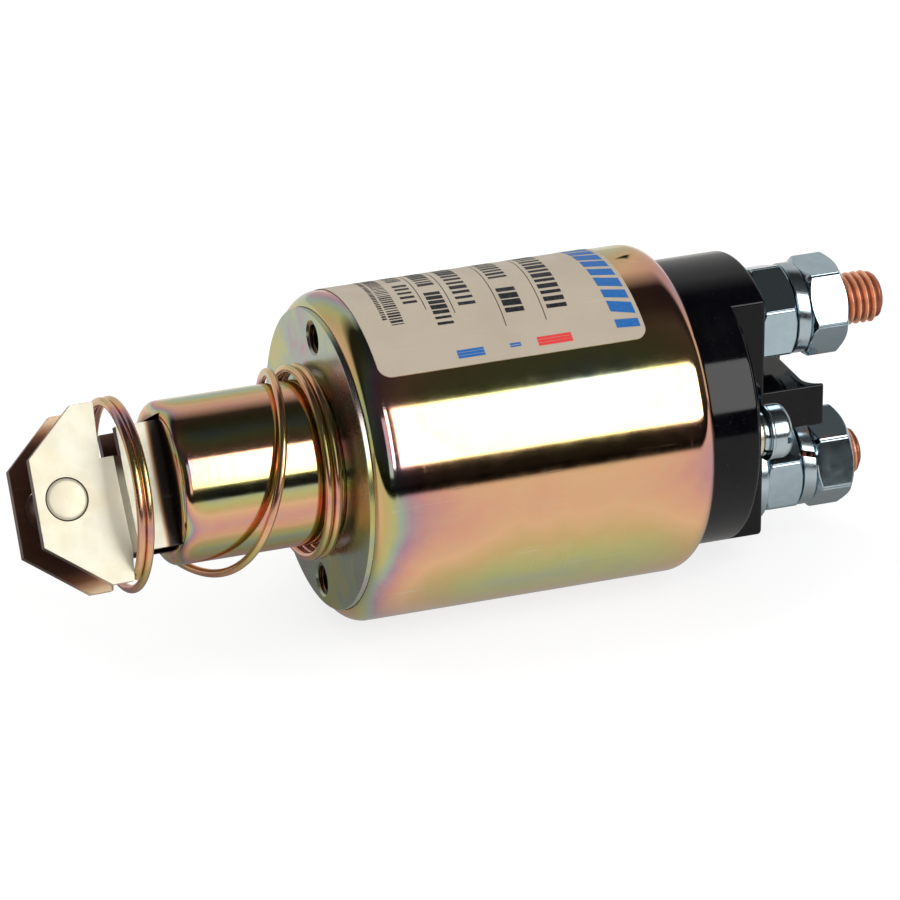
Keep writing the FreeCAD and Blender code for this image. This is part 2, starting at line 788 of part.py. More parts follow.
# Two winding leads run back from the bobbin through the rear plate.
for name, lead_side, lead_up, lead_end in (
    ("pull_in_lead", ZERO, -pull_in_lead_out, stud_head_front),
    ("trigger_lead", -trigger_lead_out, ZERO, insert_inner),
):
    lead = rod(name + "_wire", s.lead_radius, lead_end - bobbin_end)
    piece(place(lead, bobbin_end, lead_side, lead_up, tilt=ALONG_X), name)

# Contact carrier: push rod, springs, insulators, copper bridge and clip.
bridge_rear = stud_head_front - s.contact_travel - s.seat_gap
bridge_front = bridge_rear - s.bridge_thickness
rod_tip = core_front - s.rod_lead
collar_front = rear_plate_end + s.seat_gap
collar_end = collar_front + s.rod_collar
clip_start = bridge_rear + s.rear_insulator_thickness
clip_end = clip_start + s.clip_thickness
rod_end = clip_end + s.rod_tail_reach
push_rod = turned("rod", [
    (ZERO, ZERO),
    (rod_end - rod_tip, ZERO),
    (rod_end - rod_tip, s.rod_tail_radius),
    (collar_end - rod_tip, s.rod_tail_radius),
    (collar_end - rod_tip, s.rod_collar_radius),
    (collar_front - rod_tip, s.rod_collar_radius),
    (collar_front - rod_tip, s.rod_radius),
    (ZERO, s.rod_radius),
])
piece(place(push_rod, rod_tip), "contact_push_rod")

tail_bore = s.rod_tail_radius + s.fit_gap
flange_front = bridge_front - s.front_insulator_flange
insulator = turned("front_insulator_body", [
    (ZERO, tail_bore),
    (s.front_insulator_flange + s.bridge_thickness, tail_bore),
    (s.front_insulator_flange + s.bridge_thickness, s.bridge_hole_radius - s.fit_gap),
    (s.front_insulator_flange, s.bridge_hole_radius - s.fit_gap),
    (s.front_insulator_flange, s.insulator_radius),
    (ZERO, s.insulator_radius),
])
piece(place(insulator, flange_front), "front_contact_insulator")
bridge = tube("bridge", s.bridge_thickness, s.bridge_hole_radius, chamber_radius - s.bridge_gap)
piece(place(bridge, bridge_front), "contact_bridge")
rear_insulator = tube("rear_insulator_body", s.rear_insulator_thickness, tail_bore, s.insulator_radius)
piece(place(rear_insulator, bridge_rear), "rear_contact_insulator")
clip = tube("clip_ring", s.clip_thickness, tail_bore, s.clip_radius)
piece(place(clip, clip_start), "rod_clip")

spring_front = amount(collar_end + s.contact_spring_wire + s.fit_gap)
spring_rear = amount(flange_front - s.contact_spring_wire - s.fit_gap)
close_pitch = SIZES["contact_spring_wire"] * 2 + SIZES["contact_turn_gap"]
spring_angle = FULL_TURN * math.floor((spring_rear - spring_front) / close_pitch)
piece(coil("contact_spring_coil", SIZES["contact_spring_wire"], coil_points(
    0, spring_angle,
    lambda share: spring_front + (spring_rear - spring_front) * share,
    lambda share: SIZES["contact_spring_radius"])), "contact_spring")

pocket_floor = chamber_end + s.centre_pocket_depth
back_front = amount(clip_end + s.pressure_spring_wire + s.fit_gap)
back_rear = amount(pocket_floor - s.pressure_spring_wire - s.fit_gap)
back_narrow = SIZES["pressure_spring_radius"]
back_wide = amount(s.centre_pocket_radius - s.pressure_spring_wire - s.pocket_spring_gap)
piece(coil("contact_return_coil", SIZES["pressure_spring_wire"], coil_points(
    0, FULL_TURN * SIZES["pressure_spring_turns"],
    lambda share: back_front + (back_rear - back_front) * share,
    lambda share: back_narrow + (back_wide - back_narrow) * share)), "contact_return_spring")

# Plunger with a slot across its front end for the clevis.
body_radius = s.plunger_radius
slot_half_width = s.neck_outside + s.slot_play_wide
slot_half_height = s.neck_half_height + s.slot_play_high
plunger = turned("plunger_body", [
    (-s.plunger_front, ZERO),
    (s.plunger_rear, ZERO),
    (s.plunger_rear, body_radius - s.plunger_chamfer),
    (s.plunger_rear - s.plunger_chamfer, body_radius),
    (s.plunger_round - s.plunger_front, body_radius),
    Arc((s.plunger_round - s.plunger_front, body_radius - s.plunger_round),
        (-s.plunger_front, body_radius - s.plunger_round)),
])
add_pocket(plunger, "YZ_Plane", s.neck_depth, start=-s.plunger_front, outline=rectangle(
    -slot_half_width, slot_half_width, -slot_half_height, slot_half_height))
slot_floor = s.neck_depth - s.plunger_front
add_pocket(plunger, "YZ_Plane", s.rivet_depth, start=slot_floor,
           circles=[(ZERO, ZERO, s.rivet_radius + s.fit_gap)])
piece(place(plunger, turn=-s.clevis_turn), "plunger")

# Clevis: one folded sheet, two cheeks that step in to a neck and join across its end.
# It hangs a little low in the slot, so its own frame sits at the pin, dropped and tilted.
pin_along = -s.plunger_front - s.pin_reach
pin_side = -s.pin_drop * sine(s.clevis_turn)
pin_up = -s.pin_drop * cosine(s.clevis_turn)
clevis_tilt = FreeCAD.Rotation(X_AXIS, -SIZES["clevis_turn"]).multiply(
    FreeCAD.Rotation(FreeCAD.Vector(0, 1, 0), -SIZES["clevis_droop"]))
ear_half_height = spring_radius - s.ear_inset
fold_rear = s.fold_start + s.fold_length
inner_fold = s.fold_start - s.clevis_sheet / 2
inner_fold_rear = fold_rear - s.clevis_sheet / 2
base_end = slot_floor - s.seat_gap - pin_along
base_inner = base_end - s.clevis_sheet
cheek_inside = s.cheek_outside - s.clevis_sheet
neck_inside = s.neck_outside - s.clevis_sheet
front_edge = -s.cheek_front
plan = doc.addObject("PartDesign::Body", "clevis_plan")
add_pad(plan, "XY_Plane", [
    (front_edge, s.cheek_outside),
    (s.fold_start, s.cheek_outside),
    (fold_rear, s.neck_outside),
    (base_end, s.neck_outside),
    (base_end, -s.neck_outside),
    (fold_rear, -s.neck_outside),
    (s.fold_start, -s.cheek_outside),
    (front_edge, -s.cheek_outside),
    (front_edge, -cheek_inside),
    (inner_fold, -cheek_inside),
    (inner_fold_rear, -neck_inside),
    (base_inner, -neck_inside),
    (base_inner, neck_inside),
    (inner_fold_rear, neck_inside),
    (inner_fold, cheek_inside),
    (front_edge, cheek_inside),
], ear_half_height * OVERRUN)
silhouette = doc.addObject("PartDesign::Body", "clevis_side")
add_pad(silhouette, "XZ_Plane", [
    (front_edge + s.cheek_front_slant, s.cheek_front_top),
    (front_edge, -s.cheek_front_bottom),
    (s.ear_bottom_front, -ear_half_height),
    (s.ear_bottom_rear, -ear_half_height),
    (s.fold_start, -s.neck_half_height),
    (base_end, -s.neck_half_height),
    (base_end, s.neck_half_height),
    (s.notch_rear, s.neck_half_height),
    (s.notch_rear, s.notch_floor),
    (s.notch_front, s.notch_floor),
    (s.ear_top_rear, ear_half_height),
    (s.ear_top_front, ear_half_height),
], s.cheek_outside * OVERRUN, circles=[(ZERO, ZERO, s.pin_radius + s.pin_gap)])
folded = common("folded_sheet", plan, silhouette)
rivet_drill = rod("rivet_drill", s.rivet_radius + s.rivet_play, s.clevis_sheet * OVERRUN)
place(rivet_drill, base_inner - s.clevis_sheet, tilt=ALONG_X)
clevis = cut("clevis_sheet_cut", folded, rivet_drill)
piece(place(clevis, pin_along, pin_side, pin_up, tilt=clevis_tilt), "clevis")

rivet_length = s.rivet_head + s.clevis_sheet + s.rivet_depth
rivet = turned("rivet", [
    (ZERO, ZERO),
    (rivet_length, ZERO),
    (rivet_length, s.rivet_radius),
    (s.rivet_head, s.rivet_radius),
    (s.rivet_head, s.rivet_head_radius),
    (ZERO, s.rivet_head_radius),
])
rivet_seat = slot_floor - s.seat_gap * 2 - s.clevis_sheet - s.rivet_head
piece(place(rivet, rivet_seat), "clevis_rivet")

pin_half = s.cheek_outside + s.pin_proud
pin_edge = s.pin_proud
pin = turned("pin", [
    (-pin_half, ZERO),
    (pin_half, ZERO),
    (pin_half, s.pin_radius - pin_edge),
    (pin_half - pin_edge, s.pin_radius),
    (pin_edge - pin_half, s.pin_radius),
    (-pin_half, s.pin_radius - pin_edge),
])
across = FreeCAD.Rotation(FreeCAD.Vector(0, 0, 1), 90)
piece(place(pin, pin_along, pin_side, pin_up, tilt=clevis_tilt.multiply(across)), "clevis_pin")

# Return spring: close turns behind the clevis ears, one long open turn, close turns on the front face.
wire = SIZES["spring_wire"]
pitch = wire * 2 + SIZES["spring_turn_gap"]
front_turns = SIZES["spring_front_turns"]
rear_turns = SIZES["spring_rear_turns"]
spring_seat = pin_along + s.ear_bottom_rear + s.spring_seat_gap
spring_low = amount(spring_seat) + wire + SIZES["fit_gap"]
spring_high = -wire - SIZES["fit_gap"]
open_low = spring_low + pitch * front_turns
open_high = spring_high - pitch * rear_turns
all_turns = front_turns + 1 + rear_turns
OPEN_BULGE = 0.2


def spring_along(share):
    """How far along X the return spring has come after a share of its turns."""
    turns = share * all_turns
    if turns < front_turns:
        return spring_low + pitch * turns
    if turns > front_turns + 1:
        return open_high + pitch * (turns - front_turns - 1)
    part = turns - front_turns
    return open_low + (open_high - open_low) * (part + OPEN_BULGE * math.sin(math.pi * part))


first_angle = SIZES["spring_start_angle"] + FULL_TURN * front_turns
piece(coil("return_coil", wire, coil_points(
    first_angle, first_angle - FULL_TURN * all_turns,
    spring_along, lambda share: amount(spring_radius),
    lambda share: SIZES["spring_sag"] * spring_along(share) / spring_low)), "return_spring")

# Label: a thin sticker bent round the can.
label_rear = stake_front - s.label_stake_gap
label_outer = doc.addObject("Part::Cylinder", "label_outer")
bind(label_outer, "Radius", shell_radius + s.label_gap + s.label_thickness)
bind(label_outer, "Height", label_rear - s.label_front)
bind(label_outer, "Angle", s.label_sweep_angle)
label_inner = doc.addObject("Part::Cylinder", "label_inner")
bind(label_inner, "Radius", shell_radius + s.label_gap)
bind(label_inner, "Height", label_rear - s.label_front)
label_sheet = cut("label_sheet", label_outer, label_inner)
label_turn = HALF_TURN + SIZES["label_low_angle"] - SIZES["label_sweep_angle"]
label_tilt = FreeCAD.Rotation(X_AXIS, label_turn).multiply(ALONG_X)
piece(place(label_sheet, s.label_front, tilt=label_tilt), "label")

doc.recompute()
for thing in doc.Objects:
    if "Invalid" in thing.State or "Error" in thing.State:
        raise ValueError(f"{thing.Name} did not build: {thing.State}")
for part in finished:
    if part.Shape.isNull() or not part.Shape.isValid():
        raise ValueError(f"{part.Label} has no sound shape")
os.makedirs("parts", exist_ok=True)
for part in finished:
    part.Shape.exportStep(f"parts/{part.Label}.step")
    box = part.Shape.BoundBox
    print(f"{part.Label}: {len(part.Shape.Solids)} solid, {part.Shape.Volume:.1f} mm3, "
          f"x {box.XMin:.2f} to {box.XMax:.2f}, y {box.YMin:.2f} to {box.YMax:.2f}, "
          f"z {box.ZMin:.2f} to {box.ZMax:.2f}")
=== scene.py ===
"""The looks of a starter solenoid: plated steel can, plunger and clevis, black terminal cap and copper studs.

Lengths are in millimetres until a mesh is made, and in metres in Blender. An angle about a line along X is 0 at the
top and grows towards the near side.
"""

from __future__ import annotations

import json
import logging
import math
from collections.abc import Sequence
from dataclasses import dataclass
from enum import Enum

import bmesh
import bpy
from mathutils import Matrix, Vector


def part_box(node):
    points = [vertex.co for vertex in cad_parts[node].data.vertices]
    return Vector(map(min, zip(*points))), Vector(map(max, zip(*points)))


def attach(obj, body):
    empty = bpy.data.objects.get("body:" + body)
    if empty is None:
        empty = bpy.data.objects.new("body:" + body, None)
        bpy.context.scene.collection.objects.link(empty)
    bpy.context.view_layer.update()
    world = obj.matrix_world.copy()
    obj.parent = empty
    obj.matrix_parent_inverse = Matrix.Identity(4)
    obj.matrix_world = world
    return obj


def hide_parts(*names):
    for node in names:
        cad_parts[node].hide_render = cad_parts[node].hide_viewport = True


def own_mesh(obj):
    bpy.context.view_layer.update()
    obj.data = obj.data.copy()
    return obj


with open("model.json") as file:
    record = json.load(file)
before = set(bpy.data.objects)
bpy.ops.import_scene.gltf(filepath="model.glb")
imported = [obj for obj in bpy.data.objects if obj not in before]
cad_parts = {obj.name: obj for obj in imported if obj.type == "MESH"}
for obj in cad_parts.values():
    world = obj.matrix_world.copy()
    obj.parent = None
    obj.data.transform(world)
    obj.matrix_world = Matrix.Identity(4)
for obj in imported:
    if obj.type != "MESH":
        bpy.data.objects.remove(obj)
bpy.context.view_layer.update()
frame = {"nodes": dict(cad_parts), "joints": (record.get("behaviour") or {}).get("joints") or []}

LOG = logging.getLogger("solenoid")
MM = 0.001
FULL = 2 * math.pi
AXIS = Vector((0.0, 0.0, 0.0))
CENTRE = 0.001      # the distance from the axis at which a turned outline counts as closed
SHARP = 32.0        # the angle in degrees past which an edge stays sharp
STUD_HEIGHT = 16.0
STUD_RADIUS = 5.0
Point = tuple[float, float, float]
Pair = tuple[float, float]
Ring = list[Vector]
Piece = bpy.types.Object
Material = bpy.types.Material
Tree = bpy.types.NodeTree


class Rider(Enum):
    """The CAD bodies that pieces ride on."""

    CAN = "solenoid_body"
    SPRING = "spring_follower"
    PLUNGER = "plunger_assembly"
    CONTACT = "contact_carrier"


@dataclass(frozen=True)
class Extent:
    """A CAD node's box in millimetres."""

    low: Vector
    high: Vector

    @classmethod
    def of(cls, node: str) -> Extent:
        """The box of one CAD node."""
        low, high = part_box(node)
        return cls(Vector(low) / MM, Vector(high) / MM)

    @property
    def radius(self) -> float:
        """Half of its height."""
        return (self.high.z - self.low.z) / 2

    @property
    def centre(self) -> Vector:
        """Its middle."""
        return (self.low + self.high) / 2


# Meshes

def linked(name: str, data: bpy.types.ID) -> Piece:
    """Makes an object for some data and links it to the scene.

    Args:
        name: The object's name.
        data: Its mesh, curve, camera or light.

    Returns:
        The object.
    """
    made = bpy.data.objects.new(name, data)
    bpy.context.scene.collection.objects.link(made)
    return made


def spot(along: float, out: float, angle: float, centre: Vector = AXIS) -> Vector:
    """The point at a place along a line, a distance out from it and an angle about it."""
    return Vector((along, centre.y - out * math.sin(angle), centre.z + out * math.cos(angle)))


def spaced(start: float, end: float, steps: int) -> list[float]:
    """Numbers in even steps from a start to an end, with both."""
    return [start + (end - start) * step / steps for step in range(steps + 1)]


def arc(along: float, out: float, radius: float, start: float, end: float, steps: int) -> list[Pair]:
    """Points of a rounding in a turned outline.

    Args:
        along: The centre's place on the axis.
        out: The centre's distance from the axis.
        radius: The rounding's radius.
        start: First angle in degrees, from plus X towards outwards.
        end: Last angle in degrees.
        steps: How many spans it has.

    Returns:
        Pairs of distance along the axis and out from it.
    """
    angles = [math.radians(angle) for angle in spaced(start, end, steps)]
    return [(along + radius * math.cos(angle), out + radius * math.sin(angle)) for angle in angles]


def softened(outline: Sequence[Point], closed: bool = True, steps: int = 4) -> list[Pair]:
    """Rounds the corners of a turned outline.

    Args:
        outline: Corners as distance along, distance out and rounding.
        closed: Whether the last corner joins the first.
        steps: How many spans each rounding has.

    Returns:
        The outline's points.
    """
    points: list[Pair] = []
    count = len(outline)
    for index, (along, out, radius) in enumerate(outline):
        here = Vector((along, out))
        if radius <= 0 or (not closed and index in (0, count - 1)):
            points.append((along, out))
            continue
        before = Vector(outline[index - 1][:2]) - here
        after = Vector(outline[(index + 1) % count][:2]) - here
        reach = min(radius, before.length * 0.49, after.length * 0.49)
        first = here + before.normalized() * reach
        last = here + after.normalized() * reach
        for share in spaced(0.0, 1.0, steps):
            points.append(tuple(first.lerp(here, share).lerp(here.lerp(last, share), share)))
    return points


def turned_rings(outline: Sequence[Pair], centre: Vector, steps: int) -> list[Ring]:
    """Rings of points, one for each pair of an outline turned about a line along X."""
    angles = [FULL * step / steps for step in range(steps)]
    return [[spot(along, out, angle, centre) for angle in angles] for along, out in outline]


def ring_mesh(name: str, rings: Sequence[Ring], closed: bool, limit: float = SHARP) -> Piece:
    """Makes a surface through rings of points.

    Args:
        name: The piece's name.
        rings: Rings with the same number of points.
        closed: Whether the last ring joins the first.
        limit: The angle in degrees past which an edge stays sharp.

    Returns:
        The piece, with its end rings filled where it isn't closed.
    """
    size, count = len(rings[0]), len(rings)
    points = [tuple(point * MM) for ring in rings for point in ring]
    faces: list[tuple[int, ...]] = []
    for row in range(count if closed else count - 1):
        here, there = row * size, (row + 1) % count * size
        for step in range(size):
            after = (step + 1) % size
            faces.append((here + step, here + after, there + after, there + step))
    if not closed:
        faces += [tuple(range(first, first + size)) for first in (0, (count - 1) * size)]
    mesh = bpy.data.meshes.new(name)
    mesh.from_pydata(points, [], faces)
    return finish(mesh, name, limit)


def finish(mesh: bpy.types.Mesh, name: str, limit: float = SHARP) -> Piece:
    """Merges, orients and smooths a mesh, and makes its object.

    Args:
        mesh: The raw mesh.
        name: The piece's name.
        limit: The angle in degrees past which an edge stays sharp.

    Returns:
        The object, linked to the scene.
    """
    work = bmesh.new()
    work.from_mesh(mesh)
    bmesh.ops.remove_doubles(work, verts=work.verts, dist=1e-7)
    bmesh.ops.dissolve_degenerate(work, edges=work.edges, dist=1e-8)
    bmesh.ops.recalc_face_normals(work, faces=work.faces)
    for face in work.faces:
        face.smooth = True
    for edge in work.edges:
        edge.smooth = len(edge.link_faces) == 2 and edge.calc_face_angle(0) < math.radians(limit)
    work.to_mesh(mesh)
    work.free()
    return linked(name, mesh)


def lathe(name: str, outline: Sequence[Pair], centre: Vector = AXIS, steps: int = 160, closed: bool = True) -> Piece:
    """Turns an outline about a line along X, with a number of points round it."""
    return ring_mesh(name, turned_rings(outline, centre, steps), closed)


def baked(piece: Piece) -> Piece:
    """Applies a piece's modifiers, and leaves it with a plain mesh.

    Args:
        piece: The piece with its modifiers.

    Returns:
        The same piece.
    """
    mesh = bpy.data.meshes.new_from_object(piece.evaluated_get(bpy.context.evaluated_depsgraph_get()))
    piece.modifiers.clear()
    piece.data = mesh
    return piece


def bevelled(piece: Piece, width: float, segments: int = 3, limit: float = SHARP) -> Piece:
    """Rounds a piece's sharp edges and evens its shading.

    Args:
        piece: The piece.
        width: The rounding in millimetres.
        segments: How many spans it has.
        limit: The angle in degrees past which an edge is rounded.

    Returns:
        The same piece.
    """
    bevel = piece.modifiers.new("edge_round", "BEVEL")
    bevel.width = width * MM
    bevel.segments = segments
    bevel.limit_method = "ANGLE"
    bevel.angle_limit = math.radians(limit)
    bevel.miter_outer = "MITER_ARC"
    return evened(piece)


def evened(piece: Piece) -> Piece:
    """Weights a piece's normals by face area, so that flats stay flat, and applies its modifiers.

    Args:
        piece: The piece.

    Returns:
        The same piece.
    """
    weighted = piece.modifiers.new("even_shade", "WEIGHTED_NORMAL")
    weighted.keep_sharp = True
    weighted.weight = 100
    return baked(piece)


def carved(piece: Piece, tools: Sequence[Piece]) -> Piece:
    """Cuts tools out of a piece.

    Args:
        piece: The piece.
        tools: Closed meshes, which are used up.

    Returns:
        A new piece of the same name.
    """
    for tool in tools:
        cutter = piece.modifiers.new("carve", "BOOLEAN")
        cutter.operation = "DIFFERENCE"
        cutter.solver = "EXACT"
        cutter.object = tool
    name, mesh = piece.name, baked(piece).data
    for spent in (*tools, piece):
        bpy.data.objects.remove(spent)
    return finish(mesh, name)


def block(name: str, low: Point, high: Point) -> Piece:
    """A plain box between two corners, in millimetres.

    Args:
        name: The piece's name.
        low: Its lowest corner.
        high: Its highest corner.

    Returns:
        The box's piece.
    """
    mesh = bpy.data.meshes.new(name)
    work = bmesh.new()
    bmesh.ops.create_cube(work, size=1.0)
    span = Vector(high) - Vector(low)
    middle = (Vector(high) + Vector(low)) / 2
    for vertex in work.verts:
        vertex.co = (vertex.co * span + middle) * MM
    work.to_mesh(mesh)
    work.free()
    return finish(mesh, name)


def cad_copy(node: str, name: str) -> Piece:
    """A copy of a CAD node with its doubled points and flat triangles joined, to be finished further.

    Args:
        node: The CAD node's name.
        name: The new piece's name.

    Returns:
        The new piece.
    """
    mesh = frame["nodes"][node].data.copy()
    mesh.materials.clear()
    work = bmesh.new()
    work.from_mesh(mesh)
    bmesh.ops.remove_doubles(work, verts=work.verts, dist=2e-6)
    bmesh.ops.dissolve_limit(work, angle_limit=math.radians(1.0), verts=work.verts, edges=work.edges)
    work.to_mesh(mesh)
    work.free()
    return finish(mesh, name)


def joined(name: str, pieces: Sequence[Piece]) -> Piece:
    """Puts several meshes, whose objects are used up, in one piece.

    Args:
        name: The piece's name.
        pieces: The objects.

    Returns:
        The joined piece.
    """
    work = bmesh.new()
    for piece in pieces:
        work.from_mesh(piece.data)
    mesh = bpy.data.meshes.new(name)
    work.to_mesh(mesh)
    work.free()
    for piece in pieces:
        bpy.data.objects.remove(piece)
    return linked(name, mesh)


def placed(piece: Piece, move: Matrix) -> Piece:
    """Moves a piece's mesh by a matrix in millimetres, its object staying at the origin.

    Args:
        piece: The piece.
        move: Its turn and its move.

    Returns:
        The same piece.
    """
    move = move.copy()
    move.translation = move.translation * MM
    piece.data.transform(move)
    piece.data.update()
    return piece


def seated(piece: Piece, rider: Rider, slot: str, material: Material, *nodes: str) -> Piece:
    """Dresses a piece and ties it to its CAD body.

    Args:
        piece: The finished piece.
        rider: The body it moves with.
        slot: The record's material slot, not used.
        material: Its finish.
        *nodes: The CAD nodes it stands for.

    Returns:
        The same piece.
    """
    piece.data.materials.clear()
    piece.data.materials.append(material)
    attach(piece, rider.value)
    if nodes:
        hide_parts(*nodes)
    LOG.info("%s: %d faces on %s", piece.name, len(piece.data.polygons), rider.value)
    return piece


# Node graphs

@dataclass(frozen=True)
class Flow:
    """A socket's value. Arithmetic on it adds Math nodes to its graph."""

    graph: Graph
    socket: bpy.types.NodeSocket

    def __add__(self, other: Value) -> Flow:
        """The sum."""
        return self.graph.math("ADD", self, other)

    def __sub__(self, other: Value) -> Flow:
        """The difference."""
        return self.graph.math("SUBTRACT", self, other)

    def __mul__(self, other: Value) -> Flow:
        """The product."""
        return self.graph.math("MULTIPLY", self, other)

    def __truediv__(self, other: Value) -> Flow:
        """The quotient."""
        return self.graph.math("DIVIDE", self, other)


Value = float | Flow


@dataclass(frozen=True)
class Graph:
    """A node tree being wired."""

    tree: Tree

    def node(self, kind: str, inputs: dict[str | int, object] | None = None, **settings: object) -> bpy.types.Node:
        """Adds a node.

        Args:
            kind: The node's type name.
            inputs: Values or flows by input name or number.
            **settings: The node's own properties.

        Returns:
            The new node.
        """
        made = self.tree.nodes.new(kind)
        for key, value in settings.items():
            setattr(made, key, value)
        for key, value in (inputs or {}).items():
            self.feed(made.inputs[key], value)
        return made

    def feed(self, socket: bpy.types.NodeSocket, value: object) -> None:
        """Links a socket to a flow, or sets its value.

        Args:
            socket: The socket.
            value: A flow, a number, a colour or anything else that it takes.
        """
        if isinstance(value, Flow):
            self.tree.links.new(value.socket, socket)
        else:
            socket.default_value = value

    def flow(self, kind: str, inputs: dict[str | int, object] | None = None, output: str | int = 0,
             **settings: object) -> Flow:
        """Adds a node as node() does, and gives one of its outputs."""
        return Flow(self, self.node(kind, inputs, **settings).outputs[output])

    def math(self, operation: str, first: Value, second: Value = 0.0) -> Flow:
        """The result of one sum."""
        return self.flow("ShaderNodeMath", {0: first, 1: second}, operation=operation)

    def span(self, value: Value, low: float, high: float, to_low: float = 0.0, to_high: float = 1.0) -> Flow:
        """A value eased from one range to another."""
        return self.flow("ShaderNodeMapRange", {"Value": value, "From Min": low, "From Max": high, "To Min": to_low,
                                                "To Max": to_high}, interpolation_type="SMOOTHSTEP")

    def noise(self, vector: Flow, scale: Value, detail: float = 3.0, rough: float = 0.5, warp: float = 0.0) -> Flow:
        """Smooth noise from 0 to 1."""
        return self.flow("ShaderNodeTexNoise", {"Vector": vector, "Scale": scale, "Detail": detail,
                                                "Roughness": rough, "Distortion": warp}, "Fac")

    def mix(self, factor: Value, first: Flow | Point, second: Flow | Point, blend: str = "MIX") -> Flow:
        """Two colours mixed.

        Args:
            factor: The second colour's share.
            first: The first colour.
            second: The second colour.
            blend: How they are mixed.

        Returns:
            The mixed colour.
        """
        colors = [(*color, 1.0) if isinstance(color, tuple) else color for color in (first, second)]
        return self.flow("ShaderNodeMix", {0: factor, 6: colors[0], 7: colors[1]}, 2, data_type="RGBA",
                         blend_type=blend)

    def ramp(self, value: Flow, *stops: tuple[float, Point]) -> Flow:
        """A colour read from a ramp.

        Args:
            value: The place on the ramp.
            *stops: Places and linear colours.

        Returns:
            The colour.
        """
        made = self.node("ShaderNodeValToRGB", {0: value})
        elements = made.color_ramp.elements
        while len(elements) < len(stops):
            elements.new(1.0)
        for element, (place, color) in zip(elements, stops):
            element.position = place
            element.color = (*color, 1.0)
        return Flow(self, made.outputs["Color"])

    def point(self, x: Value, y: Value = 0.0, z: Value = 0.0) -> Flow:
        """A vector made of three numbers."""
        return self.flow("ShaderNodeCombineXYZ", {0: x, 1: y, 2: z})

    def parts(self, vector: Flow) -> list[Flow]:
        """A vector's three numbers."""
        return [Flow(self, socket) for socket in self.node("ShaderNodeSeparateXYZ", {0: vector}).outputs]

    def around(self, vector: Flow, centre: Point = (0.0, 0.0, 0.0)) -> tuple[Flow, Flow, Flow]:
        """Turns a place into cylinder coordinates.

        Args:
            vector: The place.
            centre: A point on the axis, in metres.

        Returns:
            Length along X, angle about X in radians from the top, and distance from X.
        """
        along, side, up = self.parts(self.flow("ShaderNodeVectorMath", {0: vector, 1: centre}, operation="SUBTRACT"))
        square = self.math("POWER", side, 2.0) + self.math("POWER", up, 2.0)
        return along, self.math("ARCTAN2", side * -1.0, up), self.math("SQRT", square)

    def close(self, *values: Flow) -> Tree:
        """Feeds the tree's outputs in order."""
        self.node("NodeGroupOutput", dict(enumerate(values)))
        return self.tree


def new_tree(kind: str, name: str, inputs: dict[str, float | int | str],
             outputs: dict[str, str]) -> tuple[Graph, dict[str, Flow]]:
    """Starts a node tree with its sockets.

    Args:
        kind: The tree's kind, Shader or Geometry.
        name: Its name.
        inputs: By name, the number that an input starts from, or the kind of one that has none.
        outputs: The kinds of its outputs by name.

    Returns:
        Its graph, and its inputs by name.
    """
    tree = bpy.data.node_groups.new(name, f"{kind}NodeTree")
    for label, default in inputs.items():
        number = {float: "Float", int: "Int"}.get(type(default))
        socket = tree.interface.new_socket(name=label, in_out="INPUT", socket_type=f"NodeSocket{number or default}")
        if number:
            socket.default_value = default
    for label, sort in outputs.items():
        tree.interface.new_socket(name=label, in_out="OUTPUT", socket_type=f"NodeSocket{sort}")
    graph = Graph(tree)
    return graph, {socket.name: Flow(graph, socket) for socket in graph.node("NodeGroupInput").outputs}


